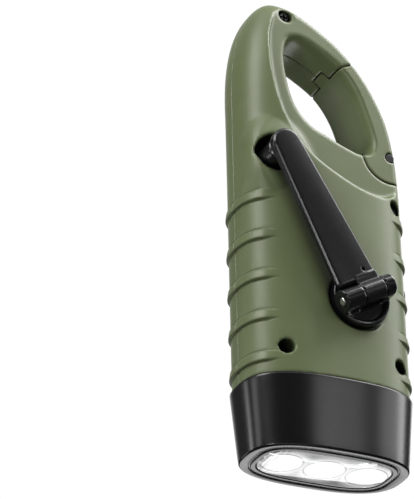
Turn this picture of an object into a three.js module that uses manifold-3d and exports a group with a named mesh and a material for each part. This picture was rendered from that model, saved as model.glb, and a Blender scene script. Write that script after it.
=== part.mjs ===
// Hand crank flashlight with a solar panel, a fold-out crank and a carabiner loop with a sprung gate.
// Millimetres. +Z runs from the lens to the loop and the lens rim lies on Z = 0. The crank is on -Y and
// the solar panel on +Y. The spine of the loop is on -X and the gate on +X.
import * as THREE from 'three';
import { mergeVertices } from 'three/addons/utils/BufferGeometryUtils.js';
import Module from 'manifold-3d';

const wasm = await Module();
wasm.setup();

// General clearances
const seatGap = 0.3;
const runningGap = 0.25;
const overrun = 3;

// Body shells: a superellipse section that is straight up to the loop
const bodyWidth = 54.6;
const bodyDepth = 32.3;
const cornerPower = 2.7;
const bodyTop = 156.1;
const cavityWallX = 2;
const cavityWallY = 3.2;
const cavityTop = 83.5;
const cavityFloorLip = 1.2;

// Crown of the loop
const crownBase = 92;
const apexOffset = -13.9;
const spineArcBase = 119.6;
const spinePower = 2.36;
const crownThinBase = 120.3;
const crownPower = 2.44;
const apexShare = 0.985;
const crownShares = [
  [1, 0], [0.98, 0.203], [0.925, 0.39], [0.818, 0.546], [0.691, 0.671], [0.535, 0.78],
  [0.323, 0.881], [0.15, 0.958], [0, 1],
];

// Flat facets on both sides of the loop
const facetThickness = 21;
const facetFoot = 88.8;
const facetSlope = 4.6;
const facetShares = [
  [-0.549, 1.03], [-0.608, 0.894], [-0.674, 0.776], [-0.678, 0.657], [-0.634, 0.516], [-0.542, 0.374],
  [-0.44, 0.27], [-0.319, 0.159], [-0.183, 0.077], [0.018, 0.027], [0.256, 0.003], [0.495, 0],
  [0.714, 0.022], [0.897, 0.077], [1.136, 0.181],
];

// Loop opening
const loopLeft = -13.1;
const loopRight = 16.6;
const loopFoot = 104.8;
const loopTop = 142.2;
const loopSoftEdge = 3.6;
const loopFlare = 1.8;
const loopWaistInset = 0.3;
const loopShares = [
  [0.997, 0.126], [0.919, 0.372], [0.815, 0.596], [0.66, 0.773], [0.441, 0.898], [0.182, 0.992],
  [0.05, 0.968], [0, 0.848], [0.013, 0.615], [0.114, 0.332], [0.273, 0.182], [0.458, 0.112],
  [0.65, 0.048], [0.845, 0.003], [0.96, 0.032],
];

// Grip ribs on both flanks
const ribTop = 81.6;
const ribPitch = 13.5;
const ribHeight = 3.8;
const ribProud = 1.3;
const ribReachShare = 0.75;
const ribRoot = 0.8;
const ribFade = 3;
const ribFadePower = 0.5;
const ribEndShare = 0.35;
const ribSectionShares = [[-1, 0], [-0.5, 0.72], [0, 1], [0.5, 0.72], [1, 0]];

// Head cap and lens
const capHeight = 22.3;
const capTopWidth = 56;
const capTopDepth = 33.7;
const capRimWidth = 52.1;
const capRimDepth = 29.8;
const capWall = 2;
const capFloor = 2;
const capRimRound = 1.3;
const spigotFoot = 13.8;
const spigotWall = 2;
const windowWidth = 41.4;
const windowDepth = 20.6;
const windowPower = 3.2;
const bezelGrooveInset = 1.4;
const bezelGrooveWidth = 0.6;
const bezelGrooveDepth = 0.4;
const lensLedge = 0.8;
const lensPlate = 1.2;

// LEDs, reflector and LED board
const ledPitch = 13.9;
const ledCount = 3;
const ledRadius = 2.5;
const ledLength = 5.6;
const ledFlange = 0.5;
const cupRadius = 6.6;
const cupThroat = 3;
const cupShares = [0, 0.12, 0.35, 0.65, 1];
const cupPower = 0.5;
const reflectorHeight = 7.4;
const ledBoardThickness = 1.2;

// Solar panel
const panelWidth = 33.6;
const panelFoot = 28;
const panelShoulder = 80;
const panelCrown = 85.8;
const panelCorner = 3;
const panelProud = 1.1;
const panelSeatDepth = 1.6;
const panelRimWidth = 30.4;
const panelRimFoot = 31;
const panelRimTop = 81;
const panelRimStep = 0.6;
const cellWidth = 21.8;
const cellFoot = 35;
const cellHeight = 40.2;
const cellThickness = 0.8;
const cellSunk = 0.7;
const cellCorner = 1.5;

// Crank: the hub turns about a line along Y, the arm hinge crosses it at a right angle
const crankX = 5.6;
const crankZ = 49.7;
const crankTiltDeg = 29;
const hubRadius = 9.4;
const hubRecessDepth = 1.25;
const hubProud = 2.25;
const hubDish = 1.1;
const hubLip = 1;
const hubRingGap = 0.5;
const hingeHeight = 4.85;
const knuckleRadius = 3.4;
const barrelLeft = -9.6;
const barrelRight = 9.2;
const armKnuckleLeft = -2.5;
const armKnuckleRight = 5.4;
const hingePinRadius = 1.3;
const hingePinProud = 0.2;
const armLength = 51.8;
const armThickness = 4;
const armTipRadius = 4.95;
const armRootLeft = -8.9;
const armRootRight = 5.8;
const armRootStart = 3.8;
const armRootRound = 1.6;
const armBevel = 0.5;
const armDimpleRadius = 0.7;
const armDimpleX = 1.7;
const armDimpleZ = 6.8;
const armDimpleDepth = 1.2;
const knobRadius = 4.3;
const knobLength = 15.6;
const knobBevel = 0.8;
const knobAxleRadius = 1.4;
const knobAxleHead = 2.8;
const knobAxleHeadDepth = 0.8;
const knobAxleSkin = 1.2;
const pocketRadius = 5;
const pocketMouth = 5.3;
const pocketShift = 0.5;
const pocketSlide = 2.1;
const pocketRimDrop = 0.9;
const moundPower = 9;
const moundRimRadius = 5.9;
const moundRadius = 8.2;
const moundDepth = 12.5;
const moundShares = [[0, 0], [0.36, 0.03], [0.74, 0.16], [1, 0.46], [0.91, 0.72], [0.57, 1]];
const pocketSpare = 1;

// Crank shaft, bush and gear train
const shaftRadius = 2.4;
const bushWall = 1.3;
const bushFlangeWall = 1.4;
const bushFlange = 0.6;
const gearSkew = 25;
const gearAddendumShare = 0.8;
const gearDedendumShare = 1.15;
const gearFlankShares = [0, 0.55, 1];
const postShares = [[-0.98, -0.6], [1.1, -0.75], [0.7, 1.3], [-1.3, 1.82]];
const gearBacklash = 0.22;
const meshSlack = 0.08;
const firstModule = 0.7;
const firstWheelTeeth = 36;
const firstPinionTeeth = 12;
const secondModule = 0.7;
const secondWheelTeeth = 30;
const secondPinionTeeth = 12;
const gearThickness = 2.4;
const gearSideGap = 0.45;
const gearSetIn = 1.1;
const gearWellGap = 0.6;
const pinionOverhang = 0.5;
const idlerLineDeg = 40;
const rotorLineDeg = -45;
const idlerAxleRadius = 1;
const wheelWebDepth = 0.7;
const wheelRimShare = 0.8;
const wheelBoss = 4.2;
const plateThickness = 1.2;
const plateGap = 1.1;
const plateMargin = 1;
const plateCornerShare = 0.8;
const postRadius = 2.4;
const rotorRadius = 5;
const rotorLength = 8;
const rotorShaftRadius = 1;
const statorRadius = 8.6;
const statorWall = 2.8;
const statorBack = 1.2;
const statorCarrier = 4;

// Electronics
const boardLeft = -17;
const boardRight = 20;
const boardFoot = 42;
const boardTop = 67;
const boardThickness = 1.2;
const boardStand = 3.8;
const boardPostRadius = 1.8;
const boardPostInset = 3.5;
const switchWidth = 4.4;
const switchDepth = 4.9;
const switchHeight = 6;
const switchPlunger = 1.1;
const switchPlungerSize = 1.6;
const batteryRadius = 6.5;
const batteryLength = 22;
const batteryZ = 31;
const batteryCellGroove = 0.5;
const batteryCells = 3;
const batteryCradle = 2.4;

// Power button on the gate flank, between two ribs
const buttonZ = 60.8;
const buttonWidth = 9;
const buttonHeight = 7.6;
const buttonCorner = 3;
const buttonProud = 1.1;
const buttonFlange = 1.3;
const buttonFlangeThickness = 1.2;
const buttonTravel = 0.8;
const buttonStemWidth = 2.6;
const buttonStemY = 5;

// Carabiner gate: it turns about a pin along Y
const pivotX = 22.2;
const pivotZ = 105.3;
const gateHubRadius = 9.2;
const gateTipRadius = 33.3;
const gateTongue = 3;
const gateTongueWidth = 5.8;
const gateTongueStartDeg = 112;
const gateOpenSideDeg = 128;
const gateBackDeg = 70;
const gateSwingDeg = 32;
const lugRadius = 6.1;
const lugThickness = 7.4;
const gatePinRadius = 1.5;
const gatePinRecess = 0.4;
const springCoilRadius = 2.7;
const springWire = 0.4;
const springTurns = 2;
const springSpan = 2;
const springLeg = 5.4;
const springSteps = 8;
const springWireSides = 6;
const springRoom = 0.8;

// Screws that close the shells, entered from the crank side
const screwHeadRadius = 2.2;
const screwHeadHeight = 1.7;
const screwShankRadius = 1.2;
const screwSeatY = -7;
const screwReach = 6;
const screwSlotWidth = 0.6;
const screwCrownShare = 0.7;
const screwRimShare = 0.6;
const screwWellGap = 0.3;
const screwBossWall = 1.7;
const screwPostWall = 1.9;
const screwTopX = -12.6;
const screwTopDrop = 6.7;
const screwGateZ = 86.8;
const screwLeftX = -17.8;
const screwLeftZ = 31.2;
const screwRightX = 20.4;
const screwRightZ = 31.5;
const screwPlaces = {
  shell_screw_top: [screwTopX, bodyTop - screwTopDrop],
  shell_screw_gate: [pivotX, screwGateZ],
  shell_screw_left: [screwLeftX, screwLeftZ],
  shell_screw_right: [screwRightX, screwRightZ],
};
const lowerScrews = ['shell_screw_left', 'shell_screw_right'];

// Facet counts
const bodySides = 32;
const cavitySides = 24;
const crownLevels = 12;
const roundSides = 20;
const smallSides = 10;
const roundSteps = 4;
const ribSteps = 8;
const loopPoints = 26;
const facetPoints = 18;
const softEdgeSteps = 3;
const pocketSteps = 7;
const gateTipSteps = 9;
const gateHubSteps = 5;
const tongueSteps = 4;
const panelTopSteps = 10;
const armTipSteps = 12;
const domeSteps = 4;

const turn = 2 * Math.PI;
const radians = THREE.MathUtils.degToRad;
const halfWidth = bodyWidth / 2;
const halfDepth = bodyDepth / 2;
const bodyBottom = capHeight + seatGap;
const ribCount = 1 + Math.floor((ribTop - ribHeight / 2 - bodyBottom) / ribPitch);
const facetHalf = facetThickness / 2;

function solid(geometry) {
  const bare = geometry.clone();
  const extra = Object.keys(bare.attributes).filter((name) => name !== 'position');
  extra.forEach((name) => bare.deleteAttribute(name));
  const welded = mergeVertices(bare);
  return new wasm.Manifold(new wasm.Mesh({
    numProp: 3,
    vertProperties: welded.attributes.position.array,
    triVerts: new Uint32Array(welded.index.array),
  }));
}

function geometryOf(body) {
  const { vertProperties, triVerts } = body.getMesh();
  const geometry = new THREE.BufferGeometry();
  geometry.setAttribute('position', new THREE.BufferAttribute(vertProperties, 3));
  geometry.setIndex(new THREE.BufferAttribute(triVerts, 1));
  geometry.computeVertexNormals();
  return geometry;
}

function join(first, ...others) {
  return others.reduce((whole, piece) => whole.add(piece), first);
}

function cut(first, ...others) {
  return others.reduce((whole, piece) => whole.subtract(piece), first);
}

// Closed solid through outlines of the same point count, each { outline: [[x, y], ...], height }
function loft(levels) {
  const count = levels[0].outline.length;
  const positions = levels.flatMap(({ outline, height }) => outline.flatMap(([x, y]) => [x, y, height]));
  const index = [];
  for (let level = 0; level < levels.length - 1; level += 1) {
    for (let i = 0; i < count; i += 1) {
      const a = level * count + i;
      const b = level * count + ((i + 1) % count);
      index.push(a, b, b + count, a, b + count, a + count);
    }
  }
  const lid = (level) => THREE.ShapeUtils.triangulateShape(
    levels[level].outline.map(([x, y]) => new THREE.Vector2(x, y)),
    [],
  ).map((face) => face.map((i) => level * count + i));
  lid(0).forEach(([a, b, c]) => index.push(a, c, b));
  lid(levels.length - 1).forEach(([a, b, c]) => index.push(a, b, c));
  const geometry = new THREE.BufferGeometry();
  geometry.setAttribute('position', new THREE.Float32BufferAttribute(positions, 3));
  geometry.setIndex(index);
  return geometry;
}

// Loft whose outlines are [x, z] pairs, each at a place y along Y
function loftAlongY(levels) {
  const flat = levels.map(({ outline, y }) => ({ outline, height: -y }));
  return solid(loft(flat.sort((a, b) => a.height - b.height)).rotateX(Math.PI / 2));
}

function slab(outline, low, high) {
  return loftAlongY([{ outline, y: low }, { outline, y: high }]);
}

function box(low, high) {
  const size = high.map((value, axis) => value - low[axis]);
  const middle = high.map((value, axis) => (value + low[axis]) / 2);
  return solid(new THREE.BoxGeometry(...size).translate(...middle));
}

function rodY(radius, x, z, low, high, sides = smallSides) {
  const rod = new THREE.CylinderGeometry(radius, radius, high - low, sides);
  return solid(rod.translate(x, (low + high) / 2, z));
}

function rodX(radius, low, high, y, z, sides = smallSides) {
  const rod = new THREE.CylinderGeometry(radius, radius, high - low, sides).rotateZ(Math.PI / 2);
  return solid(rod.translate((low + high) / 2, y, z));
}

// Radius of a faceted hole whose flats clear a round shaft
function boreFor(shaft, gap = runningGap, sides = smallSides) {
  return (shaft + gap) / Math.cos(Math.PI / sides);
}

// Turned solid about a line along Y, from [radius, y] pairs that start and end on the axis
function turned(profile, x, z, sides = roundSides) {
  const points = profile.map(([radius, y]) => new THREE.Vector2(radius, y));
  return solid(new THREE.LatheGeometry(points, sides).translate(x, 0, z));
}

function superellipse(halfX, halfY, power, count, centre = 0) {
  const side = (value) => Math.sign(value) * Math.abs(value) ** (2 / power);
  return Array.from({ length: count }, (_, i) => {
    const angle = (i / count) * turn;
    return [centre + halfX * side(Math.cos(angle)), halfY * side(Math.sin(angle))];
  });
}

function arc(radius, fromDeg, toDeg, steps, x = 0, z = 0) {
  return Array.from({ length: steps + 1 }, (_, i) => {
    const angle = radians(fromDeg + ((toDeg - fromDeg) * i) / steps);
    return [x + radius * Math.cos(angle), z + radius * Math.sin(angle)];
  });
}

const quarter = 90;

function roundedBox(left, right, foot, top, corner) {
  return [
    ...arc(corner, -quarter, 0, roundSteps, right - corner, foot + corner),
    ...arc(corner, 0, quarter, roundSteps, right - corner, top - corner),
    ...arc(corner, quarter, 2 * quarter, roundSteps, left + corner, top - corner),
    ...arc(corner, 2 * quarter, 3 * quarter, roundSteps, left + corner, foot + corner),
  ];
}

// Left edge of the body's outline and its half depth at a height
function crownAt(z) {
  const spineShare = Math.max(0, (z - spineArcBase) / (bodyTop - spineArcBase));
  const thinShare = Math.max(0, (z - crownThinBase) / (bodyTop + seatGap - crownThinBase));
  const left = apexOffset - (halfWidth + apexOffset) * (1 - spineShare ** spinePower) ** (1 / spinePower);
  return { left, deep: halfDepth * (1 - thinShare ** crownPower) ** (1 / crownPower) };
}

function bodyLevels() {
  const gateEdge = new THREE.SplineCurve(crownShares.map(([x, z]) => new THREE.Vector2(x, z)));
  const steps = [...Array(crownLevels).keys()].map((i) => i / crownLevels);
  const levels = [...steps, apexShare].map((share) => gateEdge.getPoint(share)).map(({ x, y }) => {
    const height = crownBase + (bodyTop - crownBase) * y;
    const right = apexOffset + (halfWidth - apexOffset) * x;
    const { left, deep } = crownAt(height);
    const outline = superellipse((right - left) / 2, deep, cornerPower, bodySides, (right + left) / 2);
    return { outline, height };
  });
  return [{ outline: levels[0].outline, height: bodyBottom }, ...levels];
}

// Distance from the axis to the body's surface at a place across it
function surfaceDepth(x) {
  return halfDepth * (1 - Math.abs(x / halfWidth) ** cornerPower) ** (1 / cornerPower);
}

// Raised band round one flank: its section thins out and sinks into the flank at both ends
function ribSection(side, height, share) {
  const reach = Math.acos(ribReachShare ** (cornerPower / 2));
  const angle = reach * (2 * share - 1);
  const across = Math.cos(angle) ** (2 / cornerPower);
  const along = Math.sign(angle) * Math.abs(Math.sin(angle)) ** (2 / cornerPower);
  const normal = new THREE.Vector2(
    (side * across ** (cornerPower - 1)) / halfWidth,
    (Math.sign(angle) * Math.abs(along) ** (cornerPower - 1)) / halfDepth,
  ).normalize();
  const fade = Math.min(1, ribFade * Math.sin(Math.PI * share)) ** ribFadePower;
  const tall = (ribHeight / 2) * (ribEndShare + (1 - ribEndShare) * fade);
  return ribSectionShares.map(([rise, proud]) => {
    const out = proud > 0 ? ribProud * fade * proud - ribRoot * (1 - fade) : -ribRoot;
    const x = side * halfWidth * across + normal.x * out;
    const y = halfDepth * along + normal.y * out;
    return [x, y, height + tall * rise];
  });
}

function rib(side, height) {
  const sections = Array.from({ length: ribSteps + 1 }, (_, i) => ribSection(side, height, i / ribSteps));
  const count = ribSectionShares.length;
  const index = [];
  for (let i = 0; i < ribSteps; i += 1) {
    for (let j = 0; j < count; j += 1) {
      const a = i * count + j;
      const b = i * count + ((j + 1) % count);
      index.push(a, b, b + count, a, b + count, a + count);
    }
  }
  const last = ribSteps * count;
  for (let j = 1; j < count - 1; j += 1) {
    index.push(0, j + 1, j);
    index.push(last, last + j, last + j + 1);
  }
  const geometry = new THREE.BufferGeometry();
  geometry.setAttribute('position', new THREE.Float32BufferAttribute(sections.flat(2), 3));
  geometry.setIndex(side > 0 ? index.reverse() : index);
  return solid(geometry);
}

function offsetOutline(points, distance, closed) {
  return points.map((point, i) => {
    const before = points[closed ? (i + points.length - 1) % points.length : Math.max(0, i - 1)];
    const after = points[closed ? (i + 1) % points.length : Math.min(points.length - 1, i + 1)];
    const along = new THREE.Vector2(after[0] - before[0], after[1] - before[1]).normalize();
    return [point[0] + along.y * distance, point[1] - along.x * distance];
  });
}

function facetCutter(side) {
  const spread = bodyTop - facetFoot;
  const curve = new THREE.SplineCurve(
    facetShares.map(([x, z]) => new THREE.Vector2(x * halfWidth, facetFoot + z * spread)),
  );
  const edge = curve.getPoints(facetPoints).map(({ x, y }) => [x, y]);
  const far = [
    [halfWidth + 2 * overrun, bodyTop + 2 * overrun],
    [edge[0][0] - 2 * overrun, bodyTop + 2 * overrun],
  ];
  const depth = halfDepth + overrun;
  const slope = (facetSlope * (depth - facetHalf)) / (halfDepth - facetHalf);
  const wider = offsetOutline(edge, -slope, false);
  return loftAlongY([
    { outline: [...edge, ...far], y: side * facetHalf },
    { outline: [...wider, ...far], y: side * depth },
  ]);
}

function loopCutter() {
  const points = loopShares.map(([x, z]) => new THREE.Vector3(
    loopLeft + x * (loopRight - loopLeft),
    0,
    loopFoot + z * (loopTop - loopFoot),
  ));
  const curve = new THREE.CatmullRomCurve3(points, true, 'centripetal');
  const edge = curve.getPoints(loopPoints).slice(0, -1).map(({ x, z }) => [x, z]);
  const flare = (distance) => offsetOutline(edge, distance - loopWaistInset, true);
  const rounding = Array.from({ length: softEdgeSteps + 1 }, (_, i) => {
    const angle = radians((quarter * i) / softEdgeSteps);
    return { outline: flare(loopFlare * (1 - Math.sin(angle))), depth: loopSoftEdge * (1 - Math.cos(angle)) };
  });
  const wide = flare(loopFlare + overrun);
  return loftAlongY([
    { outline: wide, y: -facetHalf - overrun },
    ...rounding.map(({ outline, depth }) => ({ outline, y: depth - facetHalf })),
    ...rounding.map(({ outline, depth }) => ({ outline, y: facetHalf - depth })).reverse(),
    { outline: wide, y: facetHalf + overrun },
  ]);
}

const knobX = crankX - armLength * Math.sin(radians(crankTiltDeg));
const knobZ = crankZ + armLength * Math.cos(radians(crankTiltDeg));
const hingeY = -halfDepth - hingeHeight;
const armInnerY = hingeY + armThickness / 2;
const knobTipY = armInnerY + seatGap + knobLength;
const pocketFloorY = knobTipY + pocketSpare;

// Outline of the knob's pocket: the knob swings out along the arm, so it is longer that way
function pocketOutline(radius) {
  const alongDeg = quarter + crankTiltDeg;
  const x = knobX + pocketShift;
  const slideX = -pocketSlide * Math.sin(radians(crankTiltDeg));
  const slideZ = pocketSlide * Math.cos(radians(crankTiltDeg));
  return [
    ...arc(radius, alongDeg - quarter, alongDeg + quarter, pocketSteps, x + slideX, knobZ + slideZ),
    ...arc(radius, alongDeg + quarter, alongDeg + 3 * quarter, pocketSteps, x, knobZ),
  ];
}

// Swelling of the spine's corner round the pocket, kept inside the body's own width
function pocketMound() {
  const rimY = pocketRimDrop - halfDepth;
  const swelling = loftAlongY(moundShares.map(([wide, deep]) => ({
    outline: pocketOutline(moundRimRadius + (moundRadius - moundRimRadius) * wide),
    y: rimY + moundDepth * deep,
  })));
  const outline = superellipse(halfWidth, halfDepth, moundPower, bodySides);
  const limit = solid(loft([{ outline, height: crankZ }, { outline, height: bodyTop }]));
  return swelling.intersect(limit);
}

// The whole outside of the body and loop, before it is parted
function bodyOutside() {
  const ribs = [];
  for (let i = 0; i < ribCount; i += 1) {
    ribs.push(rib(-1, ribTop - i * ribPitch), rib(1, ribTop - i * ribPitch));
  }
  const whole = cut(solid(loft(bodyLevels())), facetCutter(-1), facetCutter(1), loopCutter());
  return join(whole, pocketMound(), ...ribs);
}

function gateZone(grow, halfThickness) {
  const fan = [
    [pivotX + gateHubRadius + grow, pivotZ],
    ...arc(gateTipRadius + grow, gateBackDeg, gateOpenSideDeg, gateTipSteps, pivotX, pivotZ),
    ...arc(gateHubRadius + grow, 2 * quarter - gateSwingDeg, 2 * quarter, gateHubSteps, pivotX, pivotZ),
  ];
  const hub = rodY(gateHubRadius + grow, pivotX, pivotZ, -halfThickness, halfThickness, roundSides);
  return join(slab(fan, -halfThickness, halfThickness), hub);
}

function tongueZone(grow) {
  const half = gateTongueWidth / 2 + grow;
  const start = gateTongueStartDeg - THREE.MathUtils.radToDeg(grow / gateTipRadius);
  const outer = arc(gateTipRadius + gateTongue + grow, start, gateOpenSideDeg, tongueSteps, pivotX, pivotZ);
  const inner = arc(gateTipRadius - seatGap, start, gateOpenSideDeg, tongueSteps, pivotX, pivotZ);
  return slab([...outer, ...inner.reverse()], -half, half);
}

function lugZone(grow) {
  const half = lugThickness / 2 + grow;
  const reach = gateHubRadius + overrun;
  const foot = box([pivotX - reach, -half, pivotZ - reach], [pivotX + reach, half, pivotZ + grow]);
  return join(rodY(lugRadius + grow, pivotX, pivotZ, -half, half, roundSides), foot);
}

function gateSwingRoom() {
  const half = lugThickness / 2 + seatGap;
  const reach = gateHubRadius + overrun;
  const sweep = arc(reach, 2 * quarter - gateSwingDeg, 2 * quarter, gateHubSteps, pivotX, pivotZ);
  const sector = [[pivotX, pivotZ], ...sweep];
  return slab(sector, -half, half);
}

const wellRadius = screwHeadRadius + screwWellGap;
const shankHole = screwShankRadius + screwWellGap;
const rearInnerY = cavityWallY - halfDepth;
const frontInnerY = halfDepth - cavityWallY;

function cavity() {
  const outline = superellipse(halfWidth - cavityWallX, halfDepth - cavityWallY, cornerPower, cavitySides);
  return solid(loft([
    { outline, height: bodyBottom + cavityFloorLip },
    { outline, height: cavityTop },
  ]));
}

function capInnerHalf(z) {
  const share = z / capHeight;
  return [
    (capRimWidth + (capTopWidth - capRimWidth) * share) / 2 - capWall,
    (capRimDepth + (capTopDepth - capRimDepth) * share) / 2 - capWall,
  ];
}

function spigot() {
  const [wide, deep] = capInnerHalf(spigotFoot).map((value) => value - seatGap);
  const outer = superellipse(wide, deep, cornerPower, cavitySides);
  const inner = superellipse(wide - spigotWall, deep - spigotWall, cornerPower, cavitySides);
  const top = bodyBottom + cavityFloorLip;
  return {
    tube: solid(loft([{ outline: outer, height: spigotFoot }, { outline: outer, height: top }])),
    bore: solid(loft([
      { outline: inner, height: spigotFoot - overrun },
      { outline: inner, height: top + overrun },
    ])),
  };
}

function buttonHole() {
  const outline = roundedBox(
    -buttonWidth / 2 - seatGap,
    buttonWidth / 2 + seatGap,
    buttonZ - buttonHeight / 2 - seatGap,
    buttonZ + buttonHeight / 2 + seatGap,
    buttonCorner,
  );
  const hole = solid(loft([
    { outline, height: halfWidth - cavityWallX - overrun },
    { outline, height: halfWidth + overrun },
  ]).applyMatrix4(alongX));
  const side = buttonFlange + 2 * seatGap;
  const room = box(
    [halfWidth - cavityWallX - overrun, -buttonWidth / 2 - side, buttonZ - buttonHeight / 2 - side],
    [halfWidth - cavityWallX - seatGap, buttonWidth / 2 + side, buttonZ + buttonHeight / 2 + side],
  );
  return join(hole, room);
}

// Turns a loft built on [y, z] outlines with its height along Z into one along X
const alongX = new THREE.Matrix4().set(
  0, 0, 1, 0,
  1, 0, 0, 0,
  0, 1, 0, 0,
  0, 0, 0, 1,
);

function halfSpace(side) {
  const far = bodyTop + overrun;
  return side < 0
    ? box([-far, -far, -far], [far, -seatGap / 2, far])
    : box([-far, seatGap / 2, -far], [far, far, far]);
}

const outside = bodyOutside();
const gateOpening = cut(join(gateZone(seatGap, halfDepth), tongueZone(seatGap)), lugZone(0));

function shellCore(side) {
  const { tube, bore } = spigot();
  const springRoomHalf = springSpan / 2 + springRoom;
  const springPit = join(
    rodY(springCoilRadius + 2 * springRoom, pivotX, pivotZ, -springRoomHalf, springRoomHalf),
    box(
      [pivotX + springCoilRadius - springRoom, -springRoomHalf, pivotZ - springLeg - springRoom],
      [pivotX + springCoilRadius + springRoom, springRoomHalf, pivotZ + lugRadius + overrun],
    ),
  );
  const pinBore = rodY(boreFor(gatePinRadius), pivotX, pivotZ, -halfDepth, halfDepth);
  const hollow = cut(join(outside, tube), cavity(), bore, gateOpening, pinBore, springPit, buttonHole());
  return hollow.intersect(halfSpace(side));
}

const wheelRadius = (module, teeth) => (module * teeth) / 2;
const firstDistance = wheelRadius(firstModule, firstWheelTeeth + firstPinionTeeth) + meshSlack;
const secondDistance = wheelRadius(secondModule, secondWheelTeeth + secondPinionTeeth) + meshSlack;
const idlerX = crankX - firstDistance * Math.cos(radians(idlerLineDeg));
const idlerZ = crankZ + firstDistance * Math.sin(radians(idlerLineDeg));
const rotorX = idlerX - secondDistance * Math.sin(radians(rotorLineDeg));
const rotorZ = idlerZ + secondDistance * Math.cos(radians(rotorLineDeg));

const firstLayerY = rearInnerY + gearSetIn + gearSideGap;
const firstLayerEnd = firstLayerY + gearThickness;
const secondLayerY = firstLayerEnd + gearSideGap + pinionOverhang;
const secondLayerEnd = secondLayerY + gearThickness;
const plateY = secondLayerEnd + plateGap;
const plateEnd = plateY + plateThickness;
const statorY = plateEnd + seatGap;

const gearReach = wheelRadius(firstModule, firstWheelTeeth) + firstModule;
const postPlaces = postShares.map(([x, z]) => [crankX + x * gearReach, crankZ + z * gearReach]);

function rearShell() {
  const recessRadius = hubRadius + hubRingGap;
  const recess = rodY(recessRadius, crankX, crankZ, -halfDepth - overrun, recessFloorY, roundSides);
  const bushBore = boreFor(bushOuter, seatGap, roundSides);
  const bushHole = rodY(bushBore, crankX, crankZ, -halfDepth, rearInnerY + overrun, roundSides);
  const pocket = loftAlongY([
    { outline: pocketOutline(pocketMouth), y: -halfDepth - overrun },
    { outline: pocketOutline(pocketMouth), y: pocketRimDrop - halfDepth },
    { outline: pocketOutline(pocketRadius), y: pocketFloorY },
  ]);
  const gearWell = rodY(
    gearReach + gearWellGap,
    crankX,
    crankZ,
    firstLayerY - gearSideGap,
    firstLayerEnd + gearSideGap,
    roundSides,
  );
  const axleSeat = rodY(boreFor(idlerAxleRadius), idlerX, idlerZ, idlerSeatY, rearInnerY + overrun);
  const posts = postPlaces.map(([x, z]) => rodY(postRadius, x, z, rearInnerY - seatGap, plateY - seatGap));
  const bosses = lowerScrews.map((name) => {
    const [x, z] = screwPlaces[name];
    return rodY(wellRadius + screwBossWall, x, z, -surfaceDepth(x) + cavityWallX, -seatGap / 2);
  });
  const wells = Object.keys(screwPlaces).flatMap((name) => {
    const [x, z] = screwPlaces[name];
    return [
      rodY(wellRadius, x, z, -halfDepth - overrun, screwSeatY),
      rodY(shankHole, x, z, -halfDepth, overrun),
    ];
  });
  const whole = join(shellCore(-1), ...posts, ...bosses);
  return cut(whole, recess, bushHole, gearWell, pocket, axleSeat, ...wells);
}

const panelFaceY = halfDepth + panelProud;
const panelSeatY = halfDepth - panelSeatDepth;

function panelOutline(grow) {
  const half = panelWidth / 2 + grow;
  const foot = panelFoot - grow + panelCorner;
  const top = panelShoulder + grow;
  const rise = panelCrown - panelShoulder;
  const radius = (half ** 2 + rise ** 2) / (2 * rise);
  const spanDeg = THREE.MathUtils.radToDeg(Math.asin((half - panelCorner / 2) / radius));
  return [
    ...arc(panelCorner, -quarter, 0, roundSteps, half - panelCorner, foot),
    [half, top - panelCorner / 2],
    ...arc(radius, quarter - spanDeg, quarter + spanDeg, panelTopSteps, 0, top + rise - radius),
    [-half, top - panelCorner / 2],
    ...arc(panelCorner, 2 * quarter, 3 * quarter, roundSteps, panelCorner - half, foot),
  ];
}

const boardY = frontInnerY - boardStand;
const boardEnd = boardY - boardThickness;

function frontShell() {
  const recess = slab(panelOutline(seatGap), panelSeatY, halfDepth + overrun);
  const boardPosts = [boardLeft + boardPostInset, boardRight - 2 * boardPostInset].flatMap((x) => (
    [boardFoot + boardPostInset, boardTop - boardPostInset].map((z) => (
      rodY(boardPostRadius, x, z, boardY + seatGap, frontInnerY + seatGap)
    ))
  ));
  const screwPosts = lowerScrews.map((name) => {
    const [x, z] = screwPlaces[name];
    return rodY(shankHole + screwPostWall, x, z, seatGap / 2, surfaceDepth(x) - cavityWallX, roundSides);
  });
  const holes = Object.keys(screwPlaces).map((name) => {
    const [x, z] = screwPlaces[name];
    return rodY(shankHole, x, z, -seatGap, screwReach + seatGap);
  });
  const carrier = rodY(statorCarrier, rotorX, rotorZ, statorEnd + seatGap, frontInnerY + seatGap);
  const seat = rodX(batteryRadius + seatGap, -batteryLength, batteryLength, 0, batteryZ, roundSides);
  const cradles = [-1, 1].map((side) => {
    const middle = side * (batteryLength / batteryCells);
    const low = [middle - batteryCradle / 2, batteryRadius / 2, batteryZ - batteryRadius];
    const high = [middle + batteryCradle / 2, frontInnerY + seatGap, batteryZ + batteryRadius];
    return cut(box(low, high), seat);
  });
  const whole = join(shellCore(1), ...boardPosts, ...screwPosts, carrier, ...cradles);
  return cut(whole, recess, ...holes);
}

function headCap() {
  const level = (halfX, halfY, height) => {
    const outline = superellipse(halfX, halfY, cornerPower, bodySides);
    return { outline, height };
  };
  const rounding = Array.from({ length: softEdgeSteps + 1 }, (_, i) => {
    const angle = radians((quarter * i) / softEdgeSteps);
    const inset = capRimRound * (1 - Math.sin(angle));
    return level(capRimWidth / 2 - inset, capRimDepth / 2 - inset, capRimRound * (1 - Math.cos(angle)));
  });
  const outer = solid(loft([...rounding, level(capTopWidth / 2, capTopDepth / 2, capHeight)]));
  const inner = (z) => {
    const [wide, deep] = capInnerHalf(z);
    return { outline: superellipse(wide, deep, cornerPower, cavitySides), height: z };
  };
  const hollow = solid(loft([inner(capFloor), inner(capHeight + seatGap)]));
  return cut(outer, hollow, windowPrism(0, -overrun, capFloor + overrun), bezelGroove());
}

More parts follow.
